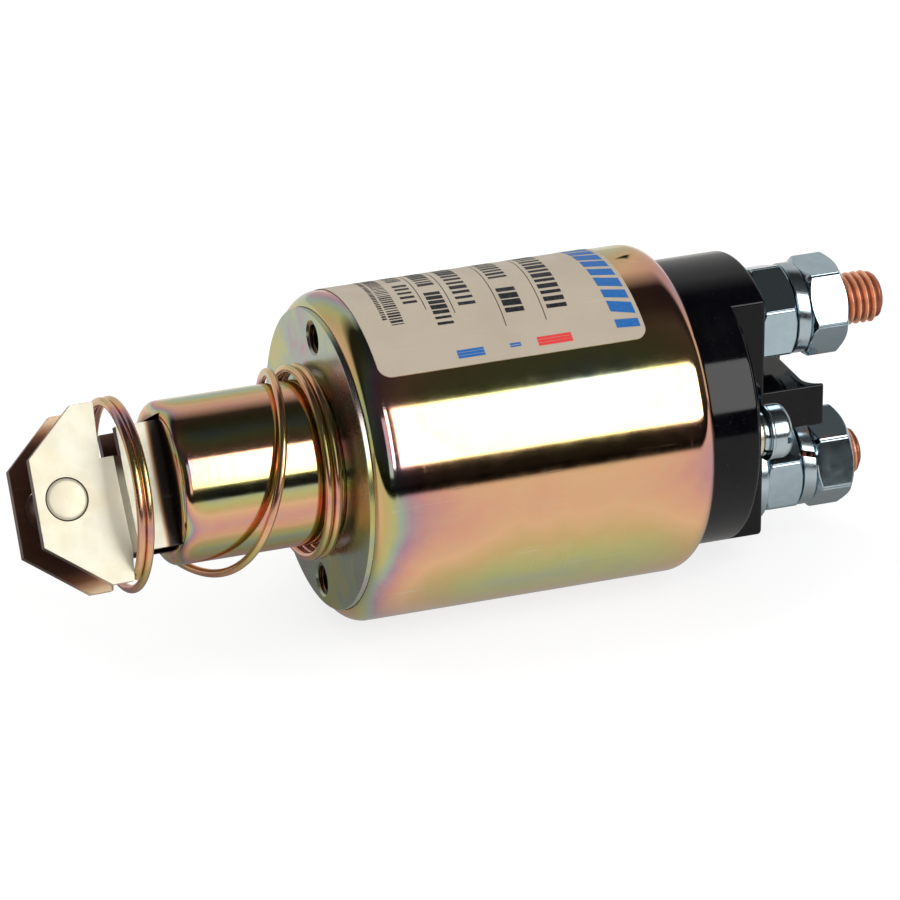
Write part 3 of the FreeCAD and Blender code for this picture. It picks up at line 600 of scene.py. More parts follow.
class Effects:
    """Shader groups that several finishes share, each built once."""

    def __init__(self) -> None:
        """Builds every group."""
        self.sheen = self.plating_sheen()
        self.scratches = self.fine_scratches()
        self.mottle = self.cloudy_mottle()

    def plating_sheen(self) -> Tree:
        """The drifting colours of yellow zinc plating.

        Returns:
            A group that puts out a colour.
        """
        graph, into = new_tree("Shader", "plating_sheen", {
            "Vector": "Vector", "Scale": 18.0, "Drift": 0.5, "Start": 0.0, "End": 0.06, "Rim": 0.008, "Shift": 0.0,
            "Waves": 0.12, "Folds": 5.0, "Patches": 0.4}, {"Color": "Color"})
        along, angle, _ = graph.around(into["Vector"])
        cloud = graph.noise(into["Vector"], into["Scale"], 2.0, 0.5, 0.6) - 0.5
        patch = graph.noise(into["Vector"], into["Scale"] * 3.7, 2.0, 0.5, 1.2) - 0.5
        tone = (cloud + patch * into["Patches"]) * into["Drift"] + into["Shift"]
        tone += graph.math("SINE", angle * into["Folds"]) * into["Waves"]
        for inwards, amount in ((along - into["Start"], 1.05), (into["End"] - along, 0.5)):
            wobble = inwards / into["Rim"] + cloud * 0.6
            tone += graph.math("POWER", 2.718, wobble * -1.0) * amount
        return graph.close(graph.ramp(
            graph.math("FRACT", tone + 10.0), (0.00, (0.86, 0.50, 0.27)), (0.16, (0.80, 0.40, 0.27)),
            (0.30, (0.64, 0.31, 0.31)), (0.42, (0.48, 0.29, 0.37)), (0.54, (0.38, 0.47, 0.40)),
            (0.68, (0.54, 0.54, 0.21)), (0.84, (0.66, 0.47, 0.19)), (1.00, (0.86, 0.50, 0.27))))

    def fine_scratches(self) -> Tree:
        """Hair scratches and handling marks.

        Returns:
            A group that puts out a mask and a height.
        """
        graph, into = new_tree("Shader", "fine_scratches", {"Vector": "Vector", "Scale": 300.0, "Amount": 0.5},
                               {"Mask": "Float", "Height": "Float"})
        lines, rings = (
            graph.noise(graph.flow("ShaderNodeMapping", {"Vector": into["Vector"], "Scale": stretch}),
                        into["Scale"] * finer, 3.0, 0.6)
            for stretch, finer in (((0.06, 1.0, 1.0), 5.0), ((1.0, 0.12, 0.12), 4.0)))
        patch = graph.noise(into["Vector"], into["Scale"] * 0.35, 2.0)
        both = graph.math("MAXIMUM", graph.span(lines, 0.60, 0.78), graph.span(rings, 0.62, 0.80))
        mask = both * graph.span(patch, 0.42, 0.66) * into["Amount"]
        return graph.close(mask, rings - mask)

    def cloudy_mottle(self) -> Tree:
        """Soft clouds and small specks.

        Returns:
            A group that puts out a cloud mask and a speck mask.
        """
        graph, into = new_tree("Shader", "cloudy_mottle", {"Vector": "Vector", "Scale": 120.0, "Specks": 0.5},
                               {"Cloud": "Float", "Speck": "Float"})
        cloud = graph.noise(into["Vector"], into["Scale"], 4.0, 0.55, 0.3)
        fine = graph.noise(into["Vector"], into["Scale"] * 14.0, 2.0)
        return graph.close(graph.span(cloud, 0.3, 0.7), graph.span(fine, 0.66, 0.76) * into["Specks"])


EFFECTS = Effects()


# Finishes

class Layer(Enum):
    """The masks that lay one colour over another."""

    CLOUD = "Cloud"
    SPECK = "Speck"
    MARK = "Mask"


class Surface:
    """A material being wired, with its Principled shader."""

    def __init__(self, name: str, metal: float, rough: float, mottle: Pair | None = None,
                 marks: Pair | None = None, **fixed: float) -> None:
        """Starts a material.

        Args:
            name: The material's name.
            metal: Its metallic value.
            rough: Its plain roughness.
            mottle: The scale and the specks of its clouds.
            marks: The scale and the amount of its scratches.
            **fixed: Other Principled sockets by name.
        """
        self.material = bpy.data.materials.new(name)
        self.material.use_nodes = True
        self.material.node_tree.nodes.clear()
        self.graph = Graph(self.material.node_tree)
        self.shader = self.graph.node("ShaderNodeBsdfPrincipled", {"Metallic": metal, "Roughness": rough, **fixed})
        self.graph.node("ShaderNodeOutputMaterial", {"Surface": Flow(self.graph, self.shader.outputs[0])})
        self.place = self.graph.flow("ShaderNodeTexCoord", output="Object")
        self.shown: dict[str, Flow] = {}
        if mottle:
            self.shown |= self.effect(EFFECTS.mottle, Scale=mottle[0], Specks=mottle[1])
        if marks:
            self.shown |= self.effect(EFFECTS.scratches, Scale=marks[0], Amount=marks[1])

    def effect(self, tree: Tree, **inputs: float) -> dict[str, Flow]:
        """Adds a shared effect, and gives its outputs by name."""
        made = self.graph.node("ShaderNodeGroup", {"Vector": self.place, **inputs}, node_tree=tree)
        return {socket.name: Flow(self.graph, socket) for socket in made.outputs}

    def layered(self, base: Flow | Point, *layers: tuple[Layer, float, Point]) -> Flow:
        """Lays colours over a base, each where its mask shows and with its share.

        Args:
            base: The lowest colour.
            *layers: The mask, the share and the linear colour of each.

        Returns:
            The layered colour.
        """
        for layer, share, color in layers:
            base = self.graph.mix(self.shown[layer.value] * share, base, color)
        return base

    def color(self, value: Flow) -> None:
        """Sets the base colour."""
        self.graph.feed(self.shader.inputs["Base Color"], value)

    def rough(self, base: float, clouds: float, marks: float = 0.0) -> None:
        """Sets the roughness, with what the clouds and the scratches add.

        Args:
            base: The plain roughness.
            clouds: What the clouds add.
            marks: What the scratches add.
        """
        value = self.shown["Cloud"] * clouds + base
        if marks:
            value += self.shown["Mask"] * marks
        self.graph.feed(self.shader.inputs["Roughness"], value)

    def bump(self, height: Flow, strength: float, distance: float) -> Material:
        """Feeds a height to the normal.

        Args:
            height: The height from 0 to 1.
            strength: How much of it shows.
            distance: Its full height in metres.

        Returns:
            The finished material.
        """
        made = self.graph.flow("ShaderNodeBump", {"Strength": strength, "Distance": distance, "Height": height})
        self.graph.feed(self.shader.inputs["Normal"], made)
        return self.material


@dataclass(frozen=True)
class YellowZinc:
    """Yellow zinc plating with an iridescent sheen between two ends, and painted shade inside a bore if it has a
    mouth.
    """

    name: str
    start: float
    end: float
    rough: float = 0.13
    drift: float = 0.35
    waves: float = 0.05
    folds: float = 5.0
    patches: float = 0.4
    shift: float = 0.0
    scale: float = 12.0
    rim: float = 0.008
    pale: float = 0.0
    mouth: float = 0.0

    def material(self) -> Material:
        """Builds the finish.

        Returns:
            The material.
        """
        face = Surface(self.name, 1.0, self.rough, (260.0, 0.6), (260.0, 0.5))
        graph = face.graph
        sheen = face.effect(EFFECTS.sheen, Scale=self.scale, Drift=self.drift, Start=self.start * MM,
                            End=self.end * MM, Rim=self.rim, Shift=self.shift, Waves=self.waves,
                            Patches=self.patches, Folds=self.folds)
        color = face.layered(
            graph.mix(self.pale, sheen["Color"], (0.90, 0.84, 0.62)), (Layer.CLOUD, 0.16, (0.72, 0.60, 0.36)),
            (Layer.SPECK, 0.5, (0.30, 0.22, 0.12)), (Layer.MARK, 0.5, (0.86, 0.82, 0.74)))
        # Painted shade: within the mouth and the first 9 mm from the front end, the plating turns brown, then near
        # black.
        if self.mouth:
            along, _, distance = graph.around(face.place)
            inside = graph.span(distance, (self.mouth - 2.2) * MM, (self.mouth + 0.6) * MM, 1.0, 0.0)
            ahead = graph.span(along, (self.start + 9.0) * MM, (self.start + 10.0) * MM, 1.0, 0.0)
            mouth_shade = graph.ramp(inside * ahead, (0.0, (1.0, 1.0, 1.0)), (0.35, (0.42, 0.25, 0.15)),
                              (1.0, (0.015, 0.009, 0.006)))
            color = graph.mix(1.0, color, mouth_shade, "MULTIPLY")
        face.color(color)
        face.rough(self.rough, 0.03, 0.25)
        return face.bump(face.shown["Height"] * 0.25 + graph.noise(face.place, 45.0, 2.0), 0.12, 0.0002)


@dataclass(frozen=True)
class ClevisZinc:
    """Satin yellow zinc on the folded sheet, pale outside and brown inside the fold as painted shade, which painted
    light makes paler towards the sheet's ends, with painted shade where the neck enters the plunger's slot.
    """

    centre: Point = (-51.6, -0.46, -0.75)
    turn: float = 31.5
    outside: float = 8.5
    neck: float = 6.5
    fold: float = -41.3
    mouth: float = -32.6

    def material(self) -> Material:
        """Builds the finish.

        Returns:
            The material.
        """
        face = Surface("clevis_plating", 0.5, 0.38, (330.0, 0.7), (300.0, 0.8))
        graph = face.graph
        tilt = math.radians(self.turn)
        local = graph.flow("ShaderNodeVectorMath", {0: face.place, 1: [part * MM for part in self.centre]},
                           operation="SUBTRACT")
        across, up = (
            graph.math("ABSOLUTE", graph.flow("ShaderNodeVectorMath", {0: local, 1: way}, "Value",
                                              operation="DOT_PRODUCT"))
            for way in ((0.0, -math.cos(tilt), math.sin(tilt)), (0.0, math.sin(tilt), math.cos(tilt))))
        along = graph.parts(face.place)[0]
        skin = graph.flow("ShaderNodeMapRange", {
            "Value": along, "From Min": self.fold * MM, "From Max": (self.fold + self.outside - self.neck) * MM,
            "To Min": self.outside * MM, "To Max": self.neck * MM})
        outer = graph.span(skin - across, 0.03 * MM, 0.12 * MM, 1.0, 0.0)
        drift = graph.noise(face.place, 90.0, 2.0, 0.5, 0.4)
        pale = graph.mix(graph.span(drift, 0.35, 0.68), (0.52, 0.505, 0.42), (0.54, 0.50, 0.39))
        # Painted shade inside the fold: dark brown, with painted light making it paler towards the sheet's upper and
        # lower ends.
        end = graph.span(up, 11.0 * MM, 17.0 * MM)
        fold_shade = graph.ramp(end + (drift - 0.5) * 0.5, (0.0, (0.05, 0.018, 0.01)), (0.5, (0.17, 0.06, 0.03)),
                           (0.8, (0.40, 0.22, 0.12)), (1.0, (0.60, 0.45, 0.30)))
        # Painted shade where the neck runs into the plunger's slot: orange-brown, then near black.
        mouth_shade = graph.ramp(graph.span(along, (self.mouth - 1.6) * MM, self.mouth * MM), (0.0, (1.0, 1.0, 1.0)),
                          (0.35, (0.60, 0.36, 0.20)), (0.75, (0.10, 0.05, 0.03)), (1.0, (0.02, 0.012, 0.01)))
        sheet = graph.mix(1.0, graph.mix(outer, fold_shade, pale), mouth_shade, "MULTIPLY")
        clouded = graph.mix(face.shown["Cloud"] * 0.2, sheet, (0.80, 0.72, 0.52), "MULTIPLY")
        face.color(face.layered(clouded, (Layer.SPECK, 0.6, (0.24, 0.17, 0.09)),
                                (Layer.MARK, 0.3, (0.40, 0.38, 0.32))))
        face.rough(0.36, 0.06)
        return face.bump(graph.noise(face.place, 900.0, 3.0, 0.6) + face.shown["Height"], 0.08, 0.00008)


@dataclass(frozen=True)
class BrightZinc:
    """Blue-white zinc plating on nuts and washers."""

    name: str = "bright_zinc"
    tone: Point = (0.48, 0.59, 0.65)
    rough: float = 0.12

    def material(self) -> Material:
        """Builds the finish.

        Returns:
            The material.
        """
        face = Surface(self.name, 1.0, self.rough, (340.0, 0.7), (420.0, 0.8))
        face.color(face.layered(self.tone, (Layer.CLOUD, 0.4, (0.38, 0.50, 0.58)),
                                (Layer.SPECK, 0.5, (0.24, 0.27, 0.29)), (Layer.MARK, 0.4, (0.80, 0.83, 0.84))))
        face.rough(self.rough, 0.05)
        return face.bump(face.graph.noise(face.place, 1500.0, 3.0, 0.6), 0.10, 0.00004)


class BlackMoulding:
    """Glossy black phenolic."""

    def material(self) -> Material:
        """Builds the finish.

        Returns:
            The material.
        """
        face = Surface("black_moulding", 0.0, 0.1, (150.0, 0.6), (300.0, 0.5), IOR=1.32)
        face.color(face.layered((0.001, 0.001, 0.0018), (Layer.CLOUD, 1.0, (0.0022, 0.0022, 0.003)),
                                (Layer.SPECK, 0.3, (0.05, 0.048, 0.045)), (Layer.MARK, 0.2, (0.03, 0.03, 0.032))))
        face.rough(0.06, 0.04, 0.2)
        grain, swell = face.graph.noise(face.place, 2600.0, 2.0, 0.6), face.graph.noise(face.place, 70.0, 2.0)
        return face.bump(grain * 0.05 + swell, 0.08, 0.00025)


@dataclass(frozen=True)
class ThreadedCopper:
    """Copper with a little tarnish in the thread's roots."""

    name: str
    height: float

    def material(self) -> Material:
        """Builds the finish.

        Returns:
            The material.
        """
        face = Surface(self.name, 0.6, 0.32, (380.0, 0.6))
        _, _, distance = face.graph.around(face.place, (0.0, 0.0, self.height * MM))
        crest = face.graph.span(distance, (STUD_RADIUS - 0.75) * MM, (STUD_RADIUS - 0.1) * MM)
        copper = face.layered((0.96, 0.47, 0.28), (Layer.CLOUD, 1.0, (0.80, 0.32, 0.17)))
        face.color(face.layered(face.graph.mix(crest, (0.26, 0.07, 0.035), copper),
                                (Layer.SPECK, 0.6, (0.16, 0.07, 0.05))))
        face.rough(0.24, 0.18)
        return face.bump(face.shown["Cloud"], 0.15, 0.0001)


@dataclass(frozen=True)
class PlainFinish:
    """A finish of two tones with clouds, specks and grain."""

    name: str
    light: Point
    dark: Point
    metal: float = 0.0
    rough: float = 0.5
    grain: float = 900.0
    depth: float = 0.15

    def material(self) -> Material:
        """Builds the finish.

        Returns:
            The material.
        """
        face = Surface(self.name, self.metal, self.rough, (self.grain / 6, 0.5))
        darker = tuple(part * 0.5 for part in self.dark)
        face.color(face.layered(self.light, (Layer.CLOUD, 1.0, self.dark), (Layer.SPECK, 0.5, darker)))
        face.rough(self.rough - 0.06, 0.12)
        return face.bump(face.graph.noise(face.place, self.grain, 3.0, 0.6), self.depth, 0.0001)


@dataclass(frozen=True)
class WoundCopper:
    """Enamelled wire laid side by side."""

    pitch: float = 0.9

    def material(self) -> Material:
        """Builds the finish.

        Returns:
            The material.
        """
        face = Surface("wound_copper", 0.9, 0.32, (90.0, 0.4))
        graph = face.graph
        along, angle, _ = graph.around(face.place)
        turn = along / (self.pitch * MM) + angle / FULL
        ridge = graph.math("ABSOLUTE", graph.math("SINE", turn * math.pi))
        copper = face.layered((0.72, 0.28, 0.12), (Layer.CLOUD, 1.0, (0.58, 0.20, 0.09)))
        # Painted shade: the wire darkens to near black in the grooves between its turns.
        face.color(graph.mix(graph.span(ridge, 0.0, 0.45), (0.12, 0.04, 0.02), copper))
        return face.bump(ridge, 0.8, self.pitch * MM * 0.4)


class LabelFilm:
    """Silver-grey printed film."""

    def material(self) -> Material:
        """Builds the finish.

        Returns:
            The material.
        """
        face = Surface("label_film", 0.0, 0.42, (60.0, 0.35), (300.0, 0.5))
        fine = face.graph.noise(face.place, 5200.0, 2.0, 0.6)
        shade = face.layered((0.315, 0.267, 0.205), (Layer.CLOUD, 1.0, (0.285, 0.238, 0.182)))
        face.color(face.layered(face.graph.mix(fine * 0.22, shade, (0.40, 0.35, 0.29)),
                                (Layer.MARK, 0.3, (0.52, 0.47, 0.40))))
        face.rough(0.36, 0.15)
        return face.bump(fine * 0.3 + face.shown["Cloud"], 0.1, 0.00005)


class Ink(Enum):
    """The label's printing inks, slightly uneven, as linear colours."""

    DARK = (0.008, 0.008, 0.01)
    BLUE = (0.008, 0.085, 0.27)
    RED = (0.48, 0.03, 0.03)

    def material(self) -> Material:
        """Builds the finish.

        Returns:
            The material.
        """
        face = Surface(f"{self.name.lower()}_ink", 0.0, 0.45, IOR=1.3)
        graph = face.graph
        thin = graph.noise(face.place, 2400.0, 3.0, 0.6)
        paler = tuple(part * 0.8 + 0.04 for part in self.value)
        face.color(graph.mix(graph.span(thin, 0.45, 0.8), self.value, paler))
        graph.feed(face.shader.inputs["Roughness"], thin * 0.2 + 0.35)
        return face.material


# Geometry Nodes

class Trees:
    """Geometry Nodes trees, each built once."""

    def __init__(self) -> None:
        """Builds every tree."""
        self.wire = self.wire_tree()
        self.bars = self.bars_tree()

    @staticmethod
    def dressed(graph: Graph, shape: Flow, finish_flow: Flow) -> Tree:
        """Ends a tree: its shape in one mesh, with its material."""
        whole = graph.flow("GeometryNodeRealizeInstances", {"Geometry": shape})
        return graph.close(graph.flow("GeometryNodeSetMaterial", {"Geometry": whole, "Material": finish_flow}))

    def wire_tree(self) -> Tree:
        """A round wire along the piece's own line.

        Returns:
            A tree with the wire's radius, its sides, its spacing and its material in.
        """
        graph, into = new_tree("Geometry", "round_wire", {
            "Geometry": "Geometry", "Wire Radius": 0.001, "Sides": 20, "Spacing": 0.0008, "Finish": "Material",
        }, {"Geometry": "Geometry"})
        path = graph.flow("GeometryNodeResampleCurve", {"Curve": into["Geometry"], "Length": into["Spacing"]},
                          mode="LENGTH")
        circle = graph.flow("GeometryNodeCurvePrimitiveCircle", {"Resolution": into["Sides"],
                                                                 "Radius": into["Wire Radius"]})
        tube = graph.flow("GeometryNodeCurveToMesh", {"Curve": path, "Profile Curve": circle, "Fill Caps": True})
        return self.dressed(graph, graph.flow("GeometryNodeSetShadeSmooth", {"Geometry": tube}), into["Finish"])

    def bars_tree(self) -> Tree:
        """Bars of uneven width in a row, wrapped round the can.

        Returns:
            A tree with the row's place, size, count, seed and material in.
        """
        graph, into = new_tree("Geometry", "wrapped_bars", {
            "Geometry": "Geometry", "Count": 20, "Along": 0.0, "Height": 0.004, "Start Angle": 0.0, "End Angle": 1.0,
            "Fill Low": 0.3, "Fill High": 0.8, "Radius": 0.03, "Seed": 1, "Lean": 0.0, "Slant": 0.0,
            "Finish": "Material"}, {"Geometry": "Geometry"})
        cell = (into["End Angle"] - into["Start Angle"]) / into["Count"]
        index = graph.flow("GeometryNodeInputIndex")
        place = graph.flow("GeometryNodeInputPosition")
        line = graph.flow("GeometryNodeMeshLine", {"Count": into["Count"]}, mode="OFFSET")
        middle = graph.point(into["Along"], (index + 0.5) * cell + into["Start Angle"])
        spread = graph.flow("GeometryNodeSetPosition", {"Geometry": line, "Position": middle})
        patch = graph.flow("GeometryNodeMeshGrid", {"Size X": 1.0, "Size Y": 1.0, "Vertices X": 2, "Vertices Y": 6})
        lean = graph.point(0.0, graph.parts(place)[0] * into["Lean"])
        leant = graph.flow("GeometryNodeSetPosition", {"Geometry": patch, "Offset": lean})
        fill = graph.flow("FunctionNodeRandomValue", {2: into["Fill Low"], 3: into["Fill High"], "ID": index,
                                                      "Seed": into["Seed"]}, 1, data_type="FLOAT")
        set_out = graph.flow("GeometryNodeInstanceOnPoints", {
            "Points": spread, "Instance": leant, "Scale": graph.point(into["Height"], fill * cell, 1.0)})
        whole = graph.flow("GeometryNodeRealizeInstances", {"Geometry": set_out})
        along, angle, _ = graph.parts(place)
        bent = graph.point(along + angle * into["Slant"], graph.math("SINE", angle) * into["Radius"] * -1.0,
                           graph.math("COSINE", angle) * into["Radius"])
        wrapped = graph.flow("GeometryNodeSetPosition", {"Geometry": whole, "Position": bent})
        return self.dressed(graph, wrapped, into["Finish"])

    @staticmethod
    def grown(piece: Piece, tree: Tree, values: dict[str, object]) -> Piece:
        """Runs a tree on a piece and keeps the result as a plain mesh.

        Args:
            piece: The object that the tree starts from, which is used up.
            tree: The tree.
            values: The tree's inputs by name.

        Returns:
            A new mesh object with the piece's name.
        """
        modifier = piece.modifiers.new("grow", "NODES")
        modifier.node_group = tree
        sockets = {item.name: item.identifier for item in tree.interface.items_tree if item.in_out == "INPUT"}
        for label, value in values.items():
            modifier[sockets[label]] = value
        mesh = bpy.data.meshes.new_from_object(piece.evaluated_get(bpy.context.evaluated_depsgraph_get()))
        name = piece.name
        bpy.data.objects.remove(piece)
        return linked(name, mesh)


TREES = Trees()


def wound(name: str, points: Sequence[Vector], wire: float, sides: int, spacing: float, material: Material) -> Piece:
    """A round wire along a smooth line through points.

    Args:
        name: The piece's name.
        points: The points in millimetres.
        wire: The wire's radius.
        sides: How many sides it has.
        spacing: The distance between its rings in metres.
        material: Its finish.

    Returns:
        The wire's piece.
    """
    curve = bpy.data.curves.new(name, "CURVE")
    curve.dimensions = "3D"
    spline = curve.splines.new("NURBS")
    spline.points.add(len(points) - 1)
    for place, point in zip(spline.points, points):
        place.co = (*(point * MM), 1.0)
    spline.order_u = 4
    spline.use_endpoint_u = True
    spline.resolution_u = 4
    return TREES.grown(linked(name, curve), TREES.wire, {
        "Wire Radius": wire * MM, "Sides": sides, "Spacing": spacing, "Finish": material})


# Sub-assemblies

@dataclass
class Can:
    """The drawn can with its two stakes."""

    wall: float = 1.75
    front_round: float = 3.8
    rear_round: float = 4.5
    front_plane: float = 0.8
    rear_plane: float = 69.2
    front_mouth: float = 28.7
    rear_mouth: float = 27.4
    stake_end: float = 64.2
    stake_length: float = 5.3
    stake_lift: float = 1.4
    stake_radii: Pair = (1.45, 2.7)
    stake_share: float = 0.65
    stake_wall: float = 0.35
    crown: float = 0.05
    crown_length: float = 1.6
    steps: int = 288

    def outline(self, radius: float) -> list[Pair]:
        """The can's closed outline.

        Args:
            radius: The can's outer radius.

        Returns:
            Pairs of distance along and distance out.
        """
        def cut(mouth: float, out: float, bend: float) -> float:
            """The angle in degrees at which a rounding meets the can's mouth."""
            return math.degrees(math.asin((mouth - out) / bend))

        front, rear = self.front_plane + self.front_round, self.rear_plane - self.rear_round
        low, high = radius - self.front_round, radius - self.rear_round
        inner_front, inner_rear = self.front_round - self.wall, self.rear_round - self.wall
        outline = arc(front, low, self.front_round, 180 - cut(self.front_mouth, low, self.front_round), 90, 14)
        outline[-1] = (front, radius - self.crown)
        outline += [(front + self.crown_length * share, radius - self.crown * (1 - share) ** 2)
                    for share in (0.2, 0.4, 0.6, 0.8, 1.0)]
        outline += [(front + (rear - front) * share, radius) for share in (0.1, 0.3, 0.6, 0.85)]
        outline += [(along, radius) for along in spaced(self.stake_end - self.stake_length, self.stake_end, 24)]
        outline += arc(rear, high, self.rear_round, 90, cut(self.rear_mouth, high, self.rear_round), 16)
        outline += arc(rear, high, inner_rear, cut(self.rear_mouth, high, inner_rear), 90, 8)
        return outline + arc(front, low, inner_front, 90, 180 - cut(self.front_mouth, low, inner_front), 8)

    def stake_depth(self, along: float, across: float) -> float:
        """How deep a stake is at a place on the can.

        Args:
            along: The place along the axis.
            across: The distance from the stake's middle line.

        Returns:
            The depth in millimetres, 0 outside the stake.
        """
        share = (along - self.stake_end + self.stake_length) / self.stake_length
        radius = self.stake_radii[0] + (self.stake_radii[1] - self.stake_radii[0]) * share
        if not 0.0 <= share <= 1.0 or abs(across) >= radius:
            return 0.0
        wall = min(1.0, (1.0 - share) / self.stake_wall)
        return max(0.0, math.sqrt(radius ** 2 - across ** 2) - self.stake_lift) * self.stake_share * wall

    def build(self, material: Material) -> None:
        """Makes the can.

        Args:
            material: The shell's plating.
        """
        radius = Extent.of("housing_shell").radius
        even = [FULL * step / self.steps for step in range(self.steps)]
        near = [math.radians(step * 0.35) for step in range(-14, 15)]
        angles = [angle for angle in even if abs(math.sin(angle)) > 0.09] + near + [turn + math.pi for turn in near]
        angles = sorted(angle % FULL for angle in angles)
        rings = []
        for along, out in self.outline(radius):
            outside = out > radius - 0.01
            rings.append([spot(along, out - (self.stake_depth(along, radius * math.sin(angle)) if outside else 0.0),
                               angle) for angle in angles])
        seated(evened(ring_mesh("can", rings, True, 40.0)), Rider.CAN, "shell_plate", material, "housing_shell")


def thread_rings(start: float, end: float, radius: float, pitch: float, depth: float, centre: Vector,
                 steps: int = 72, fade: float = 0.0) -> list[Ring]:
    """Rings of a screw thread's surface.

    Args:
        start: Where it starts along X.
        end: Where it ends.
        radius: The crest's radius.
        pitch: The distance from crest to crest.
        depth: The thread's depth.
        centre: A point on the axis.
        steps: How many points a ring has.
        fade: Over what length the thread runs down to its root at the end.

    Returns:
        The rings.
    """
    rings = []
    for along in spaced(start, end, max(2, round((end - start) / pitch * 14))):
        tip = min(1.0, (end - along) / fade) if fade else 1.0
        ring = []
        for angle in (FULL * step / steps for step in range(steps)):
            phase = (along / pitch - angle / FULL) % 1.0
            height = min(1.0, max(0.0, abs(phase - 0.5) * 2.6 - 0.15))
            reach = radius - depth * (1.0 - height) - depth * 0.9 * height * (1.0 - tip)
            ring.append(spot(along, reach, angle, centre))
        rings.append(ring)
    return rings


@dataclass
class FrontPlate:
    """The front pole plate with its two tapped holes."""

    thickness: float = 9.0
    face_radius: float = 28.6
    face_end: float = 3.02
    rim_start: float = 4.6
    bore: float = 16.13
    screw_circle: float = 48.0
    screw_turn: float = 5.0
    thread_radius: float = 3.0
    thread_depth: float = 0.5
    thread_pitch: float = 1.0
    thread_start: float = 0.35
    hole_depth: float = 7.5

    def build(self, material: Material, thread_material: Material) -> None:
        """Makes the plate and the threads in its holes.

        Args:
            material: The plate's plating.
            thread_material: The finish inside the holes, darkened as painted shade.
        """
        outer = Extent.of("front_pole_plate").radius
        thick, bore, thread, start = self.thickness, self.bore, self.thread_radius, self.thread_start
        plate = lathe("pole_plate", softened([
            (0.0, bore, 0.5), (thick, bore, 0.2), (thick, outer, 0.3),
            (self.rim_start, outer, 0.2), (self.face_end, self.face_radius, 0.2),
            (0.0, self.face_radius, 0.22)]), steps=224)
        holes = []
        end = self.hole_depth - 0.6
        for number, out in enumerate((self.screw_circle / 2, -self.screw_circle / 2)):
            centre = spot(0.0, out, math.radians(-self.screw_turn))
            cutter = [(-1.0, thread + 1.4), (0.0, thread + 0.4), (0.4, thread), (self.hole_depth - 0.5, thread),
                      (self.hole_depth, 0.4)]
            holes.append(lathe(f"hole_cutter_{number}", cutter, centre, 64, closed=False))
            rings = thread_rings(start, end, thread - 0.02, self.thread_pitch, self.thread_depth, centre, 48)
            rings += turned_rings([(end, thread - 0.01), (start, thread - 0.01)], centre, 48)
            liner = ring_mesh(f"tapped_hole_{number + 1}", rings, True, 60.0)
            seated(liner, Rider.CAN, "pole_plate", thread_material)
        seated(evened(carved(plate, holes)), Rider.CAN, "pole_plate", material, "front_pole_plate")


@dataclass
class Stud:
    """A threaded stud of the cap."""

    node: str
    pitch: float = 1.5
    depth: float = 0.85
    head: float = 3.5
    hidden_start: float = 84.0

    def build(self) -> None:
        """Makes the stud's shank, thread and head."""
        box = Extent.of(self.node)
        height = box.centre.z
        centre = Vector((0.0, 0.0, height))
        head_end, tip, start, radius = box.low.x + self.head, box.high.x, self.hidden_start, STUD_RADIUS
        rings = turned_rings(softened([
            (head_end, CENTRE, 0), (head_end, radius, 0.2), (start - 0.4, radius, 0.2),
            (start, radius - 0.4, 0.1)], closed=False), centre, 72)
        rings += thread_rings(start + 0.1, tip - 0.7, radius, self.pitch, self.depth, centre, 72, 1.3)
        rings += turned_rings([(tip - back, radius - inwards) for back, inwards in (
            (0.55, 1.15), (0.3, 1.45), (0.08, 1.75), (0.0, 2.1), (0.0, 3.2), (0.02, radius - CENTRE))], centre, 72)
        shank = ring_mesh(f"{self.node}_shank", rings, False, 50.0)
        head = bevelled(block(f"{self.node}_block", tuple(box.low), (head_end, box.high.y, box.high.z)), 0.4)
        copper = ThreadedCopper(f"{self.node}_copper", height).material()
        seated(joined(f"{self.node}_thread", [shank, head]), Rider.CAN, "stud_copper", copper, self.node)


